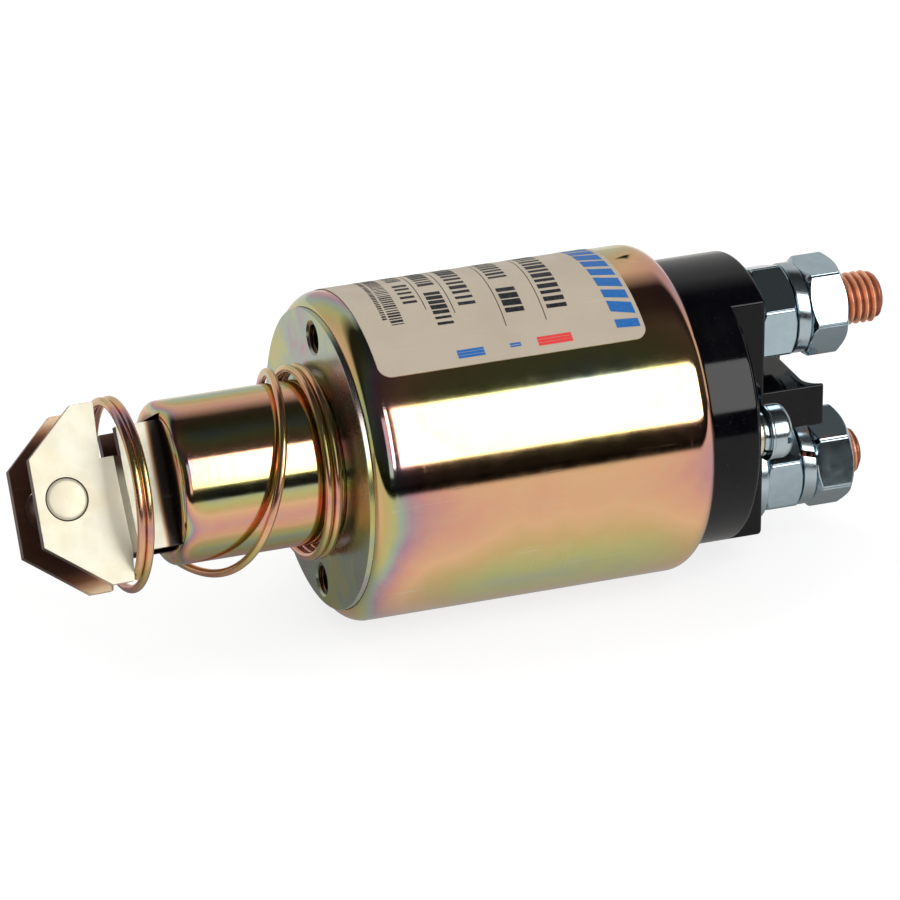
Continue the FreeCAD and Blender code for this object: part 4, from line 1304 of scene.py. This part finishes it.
@dataclass
class Nut:
    """A hexagon nut with turned chamfers."""

    node: str
    turn: float
    flats: float = 17.0
    soft: float = 0.25
    lip: float = 0.12
    side_angles: tuple[float, ...] = (0, 0.8, 1.6, 2.4, 3.6, 6, 10, 15, 20, 25, 30, 35, 40, 45, 50, 54, 56.4, 57.6,
                                      58.4, 59.2)

    def reach(self, angle: float) -> float:
        """The hexagon's distance from its middle at an angle, with its corners a little rounded.

        Args:
            angle: The angle about the nut's line.

        Returns:
            The distance in millimetres.
        """
        inside = (angle - math.radians(self.turn)) % (math.pi / 3)
        from_corner = min(inside, math.pi / 3 - inside)
        flat = self.flats / 2 / math.cos(math.pi / 6 - from_corner)
        corner = self.flats / 2 / math.cos(math.pi / 6)
        return min(flat, corner - self.soft * max(0.0, 1.0 - (from_corner / 0.05) ** 2) - 0.02)

    def build(self, material: Material) -> None:
        """Makes the nut.

        Args:
            material: Its plating.
        """
        box = Extent.of(self.node)
        centre = Vector((0.0, 0.0, math.copysign(STUD_HEIGHT, box.centre.z)))
        slope = math.tan(math.radians(36))
        face = self.flats / 2 * 0.955
        angles = [math.radians(self.turn + side * 60) + math.radians(step)
                  for side in range(6) for step in self.side_angles]

        def flat(along: float, out: float) -> Ring:
            """A round ring."""
            return [spot(along, out, angle, centre) for angle in angles]

        def edge(at: float, inward: float, soft: float) -> Ring:
            """The ring where the sides meet a chamfer, or the one drawn in beside it that softens the edge.

            Args:
                at: The nut's end face.
                inward: The way into the nut along X, 1 or -1.
                soft: How far the ring is drawn in.

            Returns:
                The ring.
            """
            outs = [self.reach(angle) - soft for angle in angles]
            return [spot(at + inward * (max(0.0, out - face) * slope + self.lip - soft), out, angle, centre)
                    for out, angle in zip(outs, angles)]

        rings = []
        for at, inward in ((box.low.x, 1), (box.high.x, -1)):
            end = [flat(at + inward * 0.6, STUD_RADIUS), flat(at, STUD_RADIUS + 0.7), flat(at, face - 0.15),
                   edge(at, inward, self.lip), edge(at, inward, 0.0)]
            rings += end[::inward]
        piece = evened(ring_mesh(f"{self.node}_hexagon", rings, True, 28.0))
        seated(piece, Rider.CAN, "nut_zinc", material, self.node)


@dataclass
class SplitWasher:
    """A spring lock washer with its slanted split."""

    node: str
    inner: float
    gap: float = 8.0
    slant: float = 5.0
    soft: float = 0.25

    def build(self, material: Material, turn: float) -> None:
        """Makes the washer, its split at an angle in degrees from the top.

        Args:
            material: Its plating.
            turn: The split's angle.
        """
        box = Extent.of(self.node)
        section = softened([(box.low.x, self.inner, self.soft), (box.high.x, self.inner, self.soft),
                            (box.high.x, box.radius, self.soft), (box.low.x, box.radius, self.soft)])
        rings = []
        for share in spaced(0.0, 1.0, 96):
            ring = []
            for along, out in section:
                lean = (along - box.centre.x) / (box.high.x - box.low.x) * self.slant
                angle = turn + self.gap / 2 + lean + (360 - self.gap) * share
                ring.append(spot(along, out, math.radians(angle), box.centre))
            rings.append(ring)
        seated(evened(ring_mesh(f"{self.node}_ring", rings, False, 40.0)), Rider.CAN, "washer_zinc", material,
               self.node)


@dataclass
class Terminals:
    """The studs, nuts, washers and the trigger screw."""

    nut_turns: tuple[tuple[str, float], ...] = (("battery_base_nut", 8.0), ("battery_outer_nut", 33.0),
                                                ("motor_base_nut", 8.0), ("motor_outer_nut", 47.0))
    bore: float = 5.1
    trigger_shank: float = 2.4
    trigger_bore: float = 2.45
    trigger_side: float = -18.7
    insert_waist: float = 3.4
    head_radius: float = 5.2
    head_round: float = 1.6
    slot_width: float = 1.3
    slot_depth: float = 1.6

    def build(self, zinc: Material, washer_zinc: Material, brass: Material) -> None:
        """Makes every fastener on the cap.

        Args:
            zinc: The nuts' plating.
            washer_zinc: The washers' plating.
            brass: The insert's finish.
        """
        for node in ("battery_stud", "motor_stud"):
            Stud(node).build()
        for node, turn in self.nut_turns:
            Nut(node, turn).build(zinc)
        SplitWasher("battery_lock_washer", self.bore).build(washer_zinc, 205.0)
        SplitWasher("motor_lock_washer", self.bore).build(washer_zinc, 60.0)
        SplitWasher("trigger_lock_washer", self.trigger_bore, 10.0, 8.0, 0.15).build(washer_zinc, 120.0)
        for node, inner in (("motor_flat_washer", self.bore), ("trigger_flat_washer", self.trigger_bore)):
            box = Extent.of(node)
            low, high, outer = box.low.x, box.high.x, box.radius
            ring = lathe(f"{node}_ring", softened([(low, inner, 0.2), (high, inner, 0.2), (high, outer, 0.22),
                                                   (low, outer, 0.22)]), box.centre, 112)
            seated(evened(ring), Rider.CAN, "washer_zinc", washer_zinc, node)
        self.trigger(washer_zinc, brass)

    def trigger(self, washer_zinc: Material, brass: Material) -> None:
        """Makes the trigger terminal's screw and insert.

        Args:
            washer_zinc: The screw's plating.
            brass: The insert's finish.
        """
        centre = Vector((0.0, self.trigger_side, 0.0))
        box = Extent.of("trigger_terminal_screw")
        start, end = Extent.of("trigger_flat_washer").high.x, box.high.x
        shank, head, bend = self.trigger_shank, self.head_radius, self.head_round
        outline = softened([(box.low.x, CENTRE, 0), (box.low.x, shank, 0.3), (start, shank, 0), (start, head, 0.25),
                            (end - bend - 0.2, head, 0)], closed=False)
        outline += arc(end - bend, head - bend, bend, 90, 0, 8) + [(end, CENTRE)]
        screw = lathe("trigger_screw", outline, centre, 96, closed=False)
        slot = block("driver_slot", (end - self.slot_depth, centre.y - 6.0, -self.slot_width / 2),
                     (end + 1.0, centre.y + 6.0, self.slot_width / 2))
        seated(bevelled(carved(screw, [slot]), 0.12, 2, 50.0), Rider.CAN, "washer_zinc", washer_zinc,
               "trigger_terminal_screw")
        box = Extent.of("trigger_terminal_insert")
        low, high, outer = box.low.x, box.high.x, box.radius
        collar = lathe("trigger_insert", softened([
            (low, self.trigger_bore, 0.1), (high, self.trigger_bore, 0.1), (high, outer, 0.35),
            (Cap.step, outer, 0.1), (Cap.step, self.insert_waist, 0.1), (Cap.floor, self.insert_waist, 0.1),
            (Cap.floor, outer, 0.1), (low, outer, 0.2)]), centre, 96)
        seated(evened(collar), Rider.CAN, "sleeve_brass", brass, "trigger_terminal_insert")


@dataclass
class Cap:
    """The moulded end cap: a cup with a flat, stud pads and a barrier."""

    skirt: float = 29.4
    skirt_end: float = 64.6
    neck_start: float = 67.2
    radius: float = 27.3
    step: float = 78.5
    rear: float = 85.4
    flat: float = 12.8
    chamber: float = 24.5
    floor: float = 76.0
    pocket: float = 7.5
    pocket_floor: float = 79.5
    back_wall: float = 3.0
    edge: float = 0.9
    pad_radius: float = 10.4
    pad_height: float = 0.6
    corner_round: float = 0.7
    step_round: float = 0.75
    barrier_width: float = 10.8
    barrier_height: float = 4.2
    barrier_hollow: float = 3.1
    hollow_rim: float = 0.8

    def d_ring(self, along: float, inset: float) -> Ring:
        """A ring of the part with the flat.

        Args:
            along: Its place on the axis.
            inset: How far it is drawn in.

        Returns:
            The ring's points.
        """
        radius, flat, soft = self.radius - inset, self.flat - inset, self.corner_round
        corner = math.asin((flat - soft) / (radius - soft))
        half = (radius - soft) * math.cos(corner)
        ring = [spot(along, radius, angle) for angle in spaced(math.pi - corner, corner + FULL, 150)]
        ring += [spot(along, soft, angle, Vector((0.0, soft - flat, half)))
                 for angle in spaced(corner, math.pi / 2, 6)[1:]]
        ring += [Vector((along, -flat, up)) for up in spaced(half, -half, 12)[1:-1]]
        ring += [spot(along, soft, angle, Vector((0.0, soft - flat, -half)))
                 for angle in spaced(math.pi / 2, math.pi - corner, 6)[:-1]]
        return ring

    def barrier(self) -> Piece:
        """The block between the studs, its rear edge hollowed.

        Returns:
            The block's piece.
        """
        start, end = self.rear - 0.5, Extent.of("end_cap").high.x
        width, hollow = self.barrier_width, self.barrier_hollow
        flat = width - self.hollow_rim - hollow
        outline = [(start, -width), (end, -width)]
        outline += [(along, side - flat) for side, along in arc(0.0, end, hollow, 180, 270, 12)]
        outline += [(along, side + flat) for side, along in arc(0.0, end, hollow, 270, 360, 12)]
        outline += [(end, width), (start, width)]
        rings = [[Vector((along, side, up)) for along, side in outline]
                 for up in (-self.barrier_height, self.barrier_height)]
        return bevelled(ring_mesh("barrier", rings, False), 0.45, 3, 40.0)

    def pad(self, name: str, up: float) -> Piece:
        """The raised seat of a stud, drawn in where it would pass the cap's side.

        Args:
            name: The piece's name.
            up: The stud's height.

        Returns:
            The seat's piece.
        """
        low, high, bore = self.rear - 0.2, self.rear + self.pad_height, STUD_RADIUS + 0.05
        outline = softened([(low, CENTRE, 0), (low, self.pad_radius, 0), (high, self.pad_radius - 0.2, 0.3),
                            (high, bore, 0), (low, bore, 0)], closed=False)
        made = lathe(name, outline, Vector((0.0, 0.0, up)), 96, closed=False)
        limit = (self.radius - self.edge) * MM
        for vertex in made.data.vertices:
            inwards = min(1.0, limit / math.hypot(vertex.co.y, vertex.co.z))
            vertex.co.y *= inwards
            vertex.co.z *= inwards
        return made

    def build(self, material: Material) -> None:
        """Makes the cap.

        Args:
            material: The moulding's finish.
        """
        low, back = Extent.of("end_cap").low.x, self.pocket_floor + 0.7
        cup = lathe("cup", softened([
            (low, self.chamber, 0.3), (self.floor, self.chamber, 0.6), (self.floor, self.pocket, 0.3),
            (self.pocket_floor, self.pocket, 0.3), (self.pocket_floor, CENTRE, 0), (back, CENTRE, 0),
            (back, self.chamber - 1.0, 0.1), (self.step, self.chamber, 0.1),
            (self.step, self.radius, self.step_round), (self.neck_start, self.radius, 0.4),
            (self.skirt_end, self.skirt, 0.4),
            (low, self.skirt, 0.4)]), steps=256)
        front, end = self.step - self.step_round, self.rear - self.edge
        rings = [self.d_ring(self.pocket_floor + 0.8, self.back_wall), self.d_ring(front, self.back_wall),
                 self.d_ring(front, 0.0), self.d_ring(end, 0.0)]
        for angle in (math.radians(18 * step) for step in range(1, 6)):
            rings.append(self.d_ring(end + self.edge * math.sin(angle), self.edge * (1 - math.cos(angle))))
        shell = evened(ring_mesh("cap_back", rings, False))
        pads = [self.pad("pad_0", STUD_HEIGHT), self.pad("pad_1", -STUD_HEIGHT)]
        whole = joined("terminal_cap", [evened(cup), shell, self.barrier(), *pads])
        seated(whole, Rider.CAN, "cap_plastic", material, "end_cap")


@dataclass
class PlungerSet:
    """The plunger with its clevis, pin and rivet."""

    radius: float = 15.5
    turn: float = 31.5
    droop: float = 1.3
    pin_setback: float = 51.6
    pin_drop: float = 0.88
    pin_radius: float = 3.95
    pin_half: float = 8.8
    slot_half_width: float = 8.1
    slot_half_height: float = 12.35
    slot_floor: float = -22.0
    edge: float = 1.9
    rivet_head: float = 4.0
    rivet_height: float = 1.6
    rivet_shank: float = 2.5

    def build(self, plunger_plate: Material, clevis_plate: Material, rivet_plate: Material) -> None:
        """Makes the plunger, the clevis, the pin and the rivet.

        Args:
            plunger_plate: The plunger's plating.
            clevis_plate: The fork's and pin's plating.
            rivet_plate: The rivet's plating.
        """
        box = Extent.of("plunger")
        low, high, radius, edge = box.low.x, box.high.x, self.radius, self.edge
        outline = [(low, CENTRE), (low, radius - edge - 1.0)] + arc(low + edge, radius - edge, edge, 180, 90, 10)
        outline += [(low + 8.0, radius), (0.0, radius)]
        outline += softened([(0.0, radius, 0), (high - 1.5, radius, 0.3), (high, radius - 1.5, 0.3),
                             (high, CENTRE, 0)], closed=False)
        body = lathe("plunger_body", outline, steps=224, closed=False)
        slot = block("slot_cutter", (low - 3, -self.slot_half_width, -self.slot_half_height),
                     (self.slot_floor, self.slot_half_width, self.slot_half_height))
        turn = Matrix.Rotation(math.radians(-self.turn), 4, "X")
        body = carved(body, [placed(slot, turn)])
        seated(bevelled(body, 0.22, 2, 40.0), Rider.PLUNGER, "plunger_plate", plunger_plate, "plunger")
        clevis = bevelled(cad_copy("clevis", "fork_clevis"), 0.3, 3, 25.0)
        seated(clevis, Rider.PLUNGER, "clevis_plate", clevis_plate, "clevis")
        half, wide = self.pin_half, self.pin_radius
        pin = lathe("fork_pin", softened([(-half, CENTRE, 0), (-half, wide, 0.7), (half, wide, 0.7),
                                          (half, CENTRE, 0)], closed=False), steps=96, closed=False)
        centre = turn @ Vector((-self.pin_setback, 0.0, -self.pin_drop))
        tilt = turn @ Matrix.Rotation(math.radians(-self.droop), 4, "Y") @ Matrix.Rotation(math.radians(90), 4, "Z")
        placed(pin, Matrix.Translation(centre) @ tilt)
        seated(evened(pin), Rider.PLUNGER, "clevis_plate", clevis_plate, "clevis_pin")
        box = Extent.of("clevis_rivet")
        low, high, head, shank = box.low.x, box.high.x, self.rivet_head, self.rivet_shank
        under = low + self.rivet_height
        rivet = lathe("clevis_rivet_head", softened([
            (low, CENTRE, 0), (low + 0.1, 1.6, 0.8), (low + 1.0, head, 0.5), (under, head, 0.1),
            (under, shank, 0.1), (high, shank, 0.1), (high, CENTRE, 0)], closed=False), steps=64, closed=False)
        seated(evened(rivet), Rider.PLUNGER, "clevis_plate", rivet_plate, "clevis_rivet")


@dataclass
class ReturnSpring:
    """The open coil spring between the clevis and the front plate."""

    radius: float = 17.7
    wire: float = 0.8
    pitch: float = 1.66
    front_turns: float = 1.6
    rear_turns: float = 2.3
    last_open_angle: float = 268.0
    seat: float = -41.6
    gap: float = 0.05
    sag: float = 0.9
    bulge: float = 0.2

    def place(self, share: float) -> Vector:
        """A point of the wire's middle line.

        Args:
            share: The share of all turns from the clevis.

        Returns:
            The point in millimetres.
        """
        low = self.seat + self.wire + self.gap
        open_low = low + self.pitch * self.front_turns
        open_high = -self.wire - self.gap - self.pitch * self.rear_turns
        turns = share * (self.front_turns + 1 + self.rear_turns)
        part = turns - self.front_turns
        if part < 0:
            along = low + self.pitch * turns
        elif part > 1:
            along = open_high + self.pitch * (part - 1)
        else:
            along = open_low + (open_high - open_low) * (part + self.bulge * math.sin(math.pi * part))
        angle = math.radians(self.last_open_angle - 360 * part)
        return spot(along, self.radius, angle, Vector((0.0, 0.0, -self.sag * along / low)))

    def build(self, material: Material) -> None:
        """Makes the spring and gives it a mesh of its own.

        Args:
            material: The wire's plating.
        """
        coil = wound("return_coil", [self.place(share) for share in spaced(0.0, 1.0, 300)], self.wire, 24, 0.0009,
                     material)
        seated(coil, Rider.SPRING, "spring_plate", material, "return_spring")
        travel = next(joint for joint in frame["joints"] if joint["name"] == "plunger_slide")["range_m"][1]
        length = -self.seat * MM
        (length - travel) / length
        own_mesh(coil)


@dataclass
class InnerSpring:
    """A small spring of the contact carrier."""

    node: str
    wire: float
    turns: float
    first_radius: float
    last_radius: float

    def build(self, material: Material) -> Piece:
        """Makes the spring.

        Args:
            material: Its finish.

        Returns:
            The spring's piece.
        """
        box = Extent.of(self.node)
        low, high = box.low.x + self.wire, box.high.x - self.wire
        points = [spot(low + (high - low) * share, self.first_radius + (self.last_radius - self.first_radius) * share,
                       FULL * self.turns * share) for share in spaced(0.0, 1.0, round(self.turns * 36))]
        coil = wound(f"{self.node}_coil", points, self.wire, 12, 0.0007, material)
        return seated(coil, Rider.CONTACT, "bare_steel", material, self.node)


@dataclass
class Label:
    """The printed film on the can, with plain bars and fields."""

    front: float = 5.3
    rear: float = 58.4
    far_angle: float = -62.0
    near_angle: float = 40.0
    lift: float = 0.03
    thickness: float = 0.12
    print_lift: float = 0.02
    corner: float = 2.4
    slant: float = -2.3

    def inset(self, along: float) -> float:
        """How far a corner's rounding draws the label's side in, in millimetres."""
        cut = max(0.0, self.corner - min(along - self.front, self.rear - along))
        return self.corner - math.sqrt(max(0.0, self.corner ** 2 - cut ** 2))

    def build(self, film: Material) -> None:
        """Makes the film and its print.

        Args:
            film: The film's finish.
        """
        radius = Extent.of("housing_shell").radius
        low, high = radius + self.lift, radius + self.lift + self.thickness
        rounding = [self.corner * (1 - math.cos(math.radians(9 * step))) for step in range(11)]
        columns = [self.front + part for part in rounding] + spaced(self.front, self.rear, 10)
        columns += [self.rear - part for part in rounding]
        rings = []
        for along in sorted(set(round(column, 4) for column in columns)):
            shift = math.degrees(self.inset(along) / radius)
            angles = [math.radians(angle) for angle in spaced(self.far_angle + shift, self.near_angle - shift, 72)]
            rings.append([spot(along, high, angle) for angle in angles]
                         + [spot(along, low, angle) for angle in reversed(angles)])
        seated(evened(ring_mesh("label_film", rings, False, 40.0)), Rider.CAN, "label_paper", film, "label")
        self.printing(high + self.print_lift)

    def printing(self, radius: float) -> None:
        """Prints the rows.

        Args:
            radius: The print's distance from the axis.
        """
        inks = {ink: ink.material() for ink in Ink}
        dark, blue, red = Ink
        rows = [
            ("code_bars", dark, 13.2, 2.5, -44.6, 19.5, 44, 0.25, 0.75, 0.0, 11),
            ("code_field", dark, 11.1, 0.9, -42.3, 16.0, 46, 0.4, 0.75, 0.0, 12),
            ("row_one", dark, 17.3, 2.8, -45.3, -11.0, 16, 0.35, 0.85, 0.0, 13),
            ("row_one_end", dark, 17.3, 2.8, -7.0, 9.5, 5, 0.4, 0.85, 0.1, 31),
            ("rule_one", dark, 19.6, 0.16, -46.0, 13.6, 36, 1.0, 1.0, 0.0, 14),
            ("row_two", dark, 22.2, 3.2, -47.3, -2.0, 17, 0.4, 0.9, 0.0, 15),
            ("row_two_end", dark, 22.2, 3.2, 3.0, 23.0, 7, 0.4, 0.9, 0.1, 32),
            ("rule_two", dark, 24.7, 0.16, -46.0, 17.6, 36, 1.0, 1.0, 0.0, 16),
            ("row_three", dark, 27.7, 3.4, -45.3, 15.0, 17, 0.4, 0.9, 0.1, 17),
            ("rule_three", dark, 33.4, 0.16, -46.0, 27.0, 36, 1.0, 1.0, 0.0, 18),
            ("row_four", dark, 36.1, 3.7, -45.9, 1.0, 15, 0.4, 0.9, 0.0, 19),
            ("row_four_end", dark, 36.1, 3.7, 7.0, 22.0, 4, 0.5, 0.9, 0.1, 35),
            ("rule_four", dark, 41.4, 0.16, -46.0, 27.0, 36, 1.0, 1.0, 0.0, 20),
            ("row_five", dark, 44.3, 4.0, -45.7, 23.0, 19, 0.4, 0.9, 0.1, 21),
            ("panel", blue, 55.3, 4.6, -47.2, 29.5, 12, 0.62, 0.88, 0.45, 22),
            ("panel_dot", blue, 55.3, 4.6, 31.6, 35.0, 1, 1.0, 1.0, 0.2, 33),
            ("block_blue", blue, 23.8, 5.3, 33.8, 37.2, 3, 0.8, 0.95, 0.0, 23),
            ("block_small", blue, 32.7, 2.2, 34.2, 36.0, 2, 0.7, 0.9, 0.0, 34),
            ("block_red", red, 40.5, 6.8, 33.4, 37.0, 3, 0.85, 0.97, 0.0, 24),
        ]
        for name, ink, along, height, first, last, count, fill_low, fill_high, lean, seed in rows:
            bars = TREES.grown(linked(f"print_{name}", bpy.data.meshes.new(name)), TREES.bars, {
                "Count": count, "Along": along * MM, "Height": height * MM, "Start Angle": math.radians(first),
                "End Angle": math.radians(last), "Fill Low": fill_low, "Fill High": fill_high,
                "Radius": radius * MM, "Seed": seed, "Lean": lean, "Slant": self.slant * MM if ink is dark else 0.0,
                "Finish": inks[ink]})
            seated(bars, Rider.CAN, "label_paper", inks[ink])


@dataclass
class InnerWorks:
    """The CAD nodes inside, which keep their shape and take a finish."""

    contact_travel: float = 3.0

    def build(self) -> None:
        """Dresses the inner nodes and makes the two small springs."""
        steel = PlainFinish("inner_steel", (0.56, 0.57, 0.58), (0.44, 0.45, 0.47), 1.0, 0.35, 700.0, 0.1).material()
        brass = PlainFinish("sleeve_brass", (0.80, 0.60, 0.28), (0.68, 0.48, 0.20), 1.0, 0.3, 700.0, 0.1)
        plastic = PlainFinish("bobbin_plastic", (0.78, 0.72, 0.60), (0.70, 0.63, 0.50), 0.0, 0.45)
        paper = PlainFinish("wrap_paper", (0.62, 0.48, 0.28), (0.50, 0.37, 0.20), 0.0, 0.8, 1400.0, 0.4)
        rubber = PlainFinish("gasket_rubber", (0.03, 0.03, 0.03), (0.018, 0.018, 0.018), 0.0, 0.75)
        copper = PlainFinish("bare_copper", (0.80, 0.36, 0.20), (0.66, 0.27, 0.14), 1.0, 0.3, 700.0, 0.1)
        finishes = {
            steel: ("fixed_core", "rear_pole_plate", "contact_push_rod", "rod_clip"),
            brass.material(): ("plunger_guide_sleeve",),
            plastic.material(): ("coil_bobbin", "front_contact_insulator", "rear_contact_insulator"),
            paper.material(): ("winding_wrap",),
            rubber.material(): ("cap_gasket",),
            copper.material(): ("contact_bridge", "pull_in_lead", "trigger_lead"),
            WoundCopper().material(): ("pull_in_winding", "hold_in_winding"),
        }
        for material, nodes in finishes.items():
            for node in nodes:
                mesh = frame["nodes"][node].data
                mesh.materials.clear()
                mesh.materials.append(material)
                LOG.info("%s: dressed", node)
        InnerSpring("contact_spring", 0.6, 5.0, 5.2, 5.2).build(steel)
        back = InnerSpring("contact_return_spring", 0.4, 4.0, 4.2, 6.3).build(steel)
        box = Extent.of("contact_return_spring")
        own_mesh(back)


# The studio

@dataclass
class Studio:
    """The camera, the floor, the lamps and the surroundings that the metal shows."""

    azimuth: float = -20.9
    elevation: float = 24.7
    distance: float = 1430.0
    target: Point = (26.6, 0.0, -2.5)
    focal_pixels: float = 7600.0
    picture: float = 900.0
    sensor: float = 36.0
    floor_height: float = -31.6
    floor_reach: float = 1.2
    room: tuple[Pair, ...] = (
        (-180, 0.60), (-90, 0.62), (-46, 0.62), (-36, 0.30), (-27, 0.02), (-8, 0.02), (8, 0.05), (37, 0.05),
        (80, 0.02), (86, 0.01), (150, 0.01),
    )
    # A softbox and a window: their turn about X in degrees, their reach along it as a slope, and their brightness.
    panes: tuple[tuple[Pair, Pair, float], ...] = (
        ((38.0, 78.5), (0.26, 0.74), 5.0), ((44.0, 84.0), (-0.28, 0.14), 0.95),
    )

    def camera(self) -> None:
        """Sets up the camera."""
        turn, rise = math.radians(self.azimuth), math.radians(self.elevation)
        eye = Vector((math.sin(turn) * math.cos(rise), -math.cos(turn) * math.cos(rise), math.sin(rise)))
        data = bpy.data.cameras.new("camera")
        data.lens = self.focal_pixels / self.picture * self.sensor
        data.sensor_width = self.sensor
        data.clip_start = 0.05
        data.clip_end = 20.0
        camera = linked("camera", data)
        camera.location = (Vector(self.target) + eye * self.distance) * MM
        camera.rotation_euler = (-eye).to_track_quat("-Z", "Y").to_euler()
        bpy.context.scene.camera = camera

    @staticmethod
    def rays(graph: Graph) -> tuple[Flow, Flow]:
        """Masks of the rays that a shiny or clear surface sends, and of the camera's own.

        Args:
            graph: The tree that reads them.

        Returns:
            The two masks.
        """
        path = graph.node("ShaderNodeLightPath").outputs
        glossy, clear, seen = (Flow(graph, path[f"Is {kind} Ray"]) for kind in ("Glossy", "Transmission", "Camera"))
        return graph.math("MAXIMUM", glossy, clear), seen

    def world(self) -> None:
        """The surroundings: white behind, a bright softbox above the front, dark above and in front."""
        world = bpy.data.worlds.new("studio")
        bpy.context.scene.world = world
        world.use_nodes = True
        world.node_tree.nodes.clear()
        graph = Graph(world.node_tree)
        along, side, up = graph.parts(graph.flow("ShaderNodeTexCoord", output="Generated"))
        angle = graph.math("ARCTAN2", side * -1.0, up)
        room = graph.ramp(angle / FULL + 0.5, *(((turn + 180) / 360, (level,) * 3) for turn, level in self.room))
        bright = graph.flow("ShaderNodeSeparateColor", {0: room})
        soft = math.radians(1.0)
        for turn, (left, right), level in self.panes:
            low, high = (math.radians(degrees) for degrees in turn)
            in_turn = graph.span(angle, low - soft, low + soft) * graph.span(angle, high - soft, high + soft, 1.0, 0.0)
            in_reach = graph.span(along, left, left + 0.04) * graph.span(along, right, right + 0.06, 1.0, 0.0)
            bright += in_turn * in_reach * level
        shiny, camera = self.rays(graph)
        plain, mirror, white = (
            graph.flow("ShaderNodeBackground", {"Color": (*color, 1.0), "Strength": strength})
            for color, strength in (((1.0, 1.0, 1.0), 0.85), ((1.0, 0.99, 0.97), bright), ((1.0, 1.0, 1.0), 1.0)))
        lit = graph.flow("ShaderNodeMixShader", {0: shiny, 1: plain, 2: mirror})
        seen = graph.flow("ShaderNodeMixShader", {0: camera, 1: lit, 2: white})
        graph.node("ShaderNodeOutputWorld", {"Surface": seen})

    def floor(self) -> None:
        """A pale floor that keeps a faint shadow, and glows in the metal's reflections to show bright in its lower
        side, with a painted shadow under the object.
        """
        mesh = bpy.data.meshes.new("floor")
        height = self.floor_height * MM
        corners = [(side * self.floor_reach, depth * self.floor_reach, height)
                   for side, depth in ((-1, -1), (1, -1), (1, 1), (-1, 1))]
        mesh.from_pydata(corners, [], [(0, 1, 2, 3)])
        material = bpy.data.materials.new("pale_floor")
        material.use_nodes = True
        material.node_tree.nodes.clear()
        graph = Graph(material.node_tree)
        depth = graph.parts(graph.flow("ShaderNodeTexCoord", output="Object"))[1]
        near = graph.span(depth, -0.32, -0.22)
        # Painted shadow: the floor's glow in reflections is dimmer under the object.
        under = graph.span(graph.math("ABSOLUTE", depth + -0.012), 0.008, 0.052, 0.25, 0.80)
        matt = graph.flow("ShaderNodeBsdfDiffuse", {"Color": (0.9, 0.9, 0.9, 1.0)})
        white = graph.flow("ShaderNodeEmission", {"Color": (1.0, 1.0, 1.0, 1.0), "Strength": 1.0})
        shine = graph.flow("ShaderNodeEmission", {"Color": (1.0, 0.98, 0.95, 1.0), "Strength": near * under})
        shiny, camera = self.rays(graph)
        lit = graph.flow("ShaderNodeMixShader", {0: shiny, 1: matt, 2: shine})
        seen = graph.flow("ShaderNodeMixShader", {0: camera * 0.8, 1: lit, 2: white})
        graph.node("ShaderNodeOutputMaterial", {"Surface": seen})
        mesh.materials.append(material)
        linked("floor", mesh)

    def lamp(self, name: str, place: Point, size: float, power: float) -> None:
        """A soft square lamp that points at the object.

        Args:
            name: The lamp's name.
            place: Its place in metres.
            size: Its side in metres.
            power: Its power in watts.
        """
        data = bpy.data.lights.new(name, "AREA")
        data.size = size
        data.energy = power
        lamp = linked(name, data)
        lamp.location = place
        lamp.rotation_euler = Vector(place).to_track_quat("Z", "Y").to_euler()
        lamp.visible_glossy = False
        lamp.visible_camera = False

    def build(self) -> None:
        """Sets up the whole studio."""
        self.camera()
        self.world()
        self.floor()
        self.lamp("key_lamp", (0.15, -0.9, 0.8), 0.7, 9.0)
        self.lamp("top_lamp", (-0.3, 0.4, 1.1), 0.9, 7.0)
        bpy.context.scene.view_settings.view_transform = "Standard"


def main() -> None:
    """Builds the studio and every sub-assembly."""
    logging.basicConfig(level=logging.INFO, format="%(name)s %(message)s")
    Studio().build()
    shell = YellowZinc("can_plating", 1.0, 69.8, rough=0.08, drift=0.5, patches=0.5, waves=0.2, shift=-0.2, rim=0.007)
    disc = YellowZinc("plate_plating", -90.0, 90.0, rough=0.24, shift=0.56, drift=0.6, patches=0.7, scale=32.0)
    # Painted shade: the dark brown of the tapped holes' threads stands in for shade inside the holes.
    thread = PlainFinish("tapped_hole_shade", (0.20, 0.12, 0.06), (0.09, 0.05, 0.03), 1.0, 0.3)
    plunger = YellowZinc("plunger_plating", -31.4, 20.0, rough=0.1, waves=0.3, folds=8.0, shift=-0.1, drift=0.25,
                         scale=26.0, rim=0.0012, mouth=13.4)
    rivet = YellowZinc("pin_plating", -60.0, -10.0, rough=0.25, pale=0.35, drift=0.2, waves=0.0)
    spring = YellowZinc("spring_plating", -60.0, 30.0, rough=0.2, waves=0.2, drift=0.8, scale=60.0)
    washer = BrightZinc("washer_zinc", (0.52, 0.60, 0.64), 0.17)
    brass = PlainFinish("insert_brass", (0.86, 0.80, 0.66), (0.74, 0.66, 0.50), 1.0, 0.25, 700.0, 0.1)
    Can().build(shell.material())
    FrontPlate().build(disc.material(), thread.material())
    PlungerSet().build(plunger.material(), ClevisZinc().material(), rivet.material())
    ReturnSpring().build(spring.material())
    Cap().build(BlackMoulding().material())
    Terminals().build(BrightZinc().material(), washer.material(), brass.material())
    Label().build(LabelFilm().material())
    InnerWorks().build()


if __name__ == "__main__":
    main()
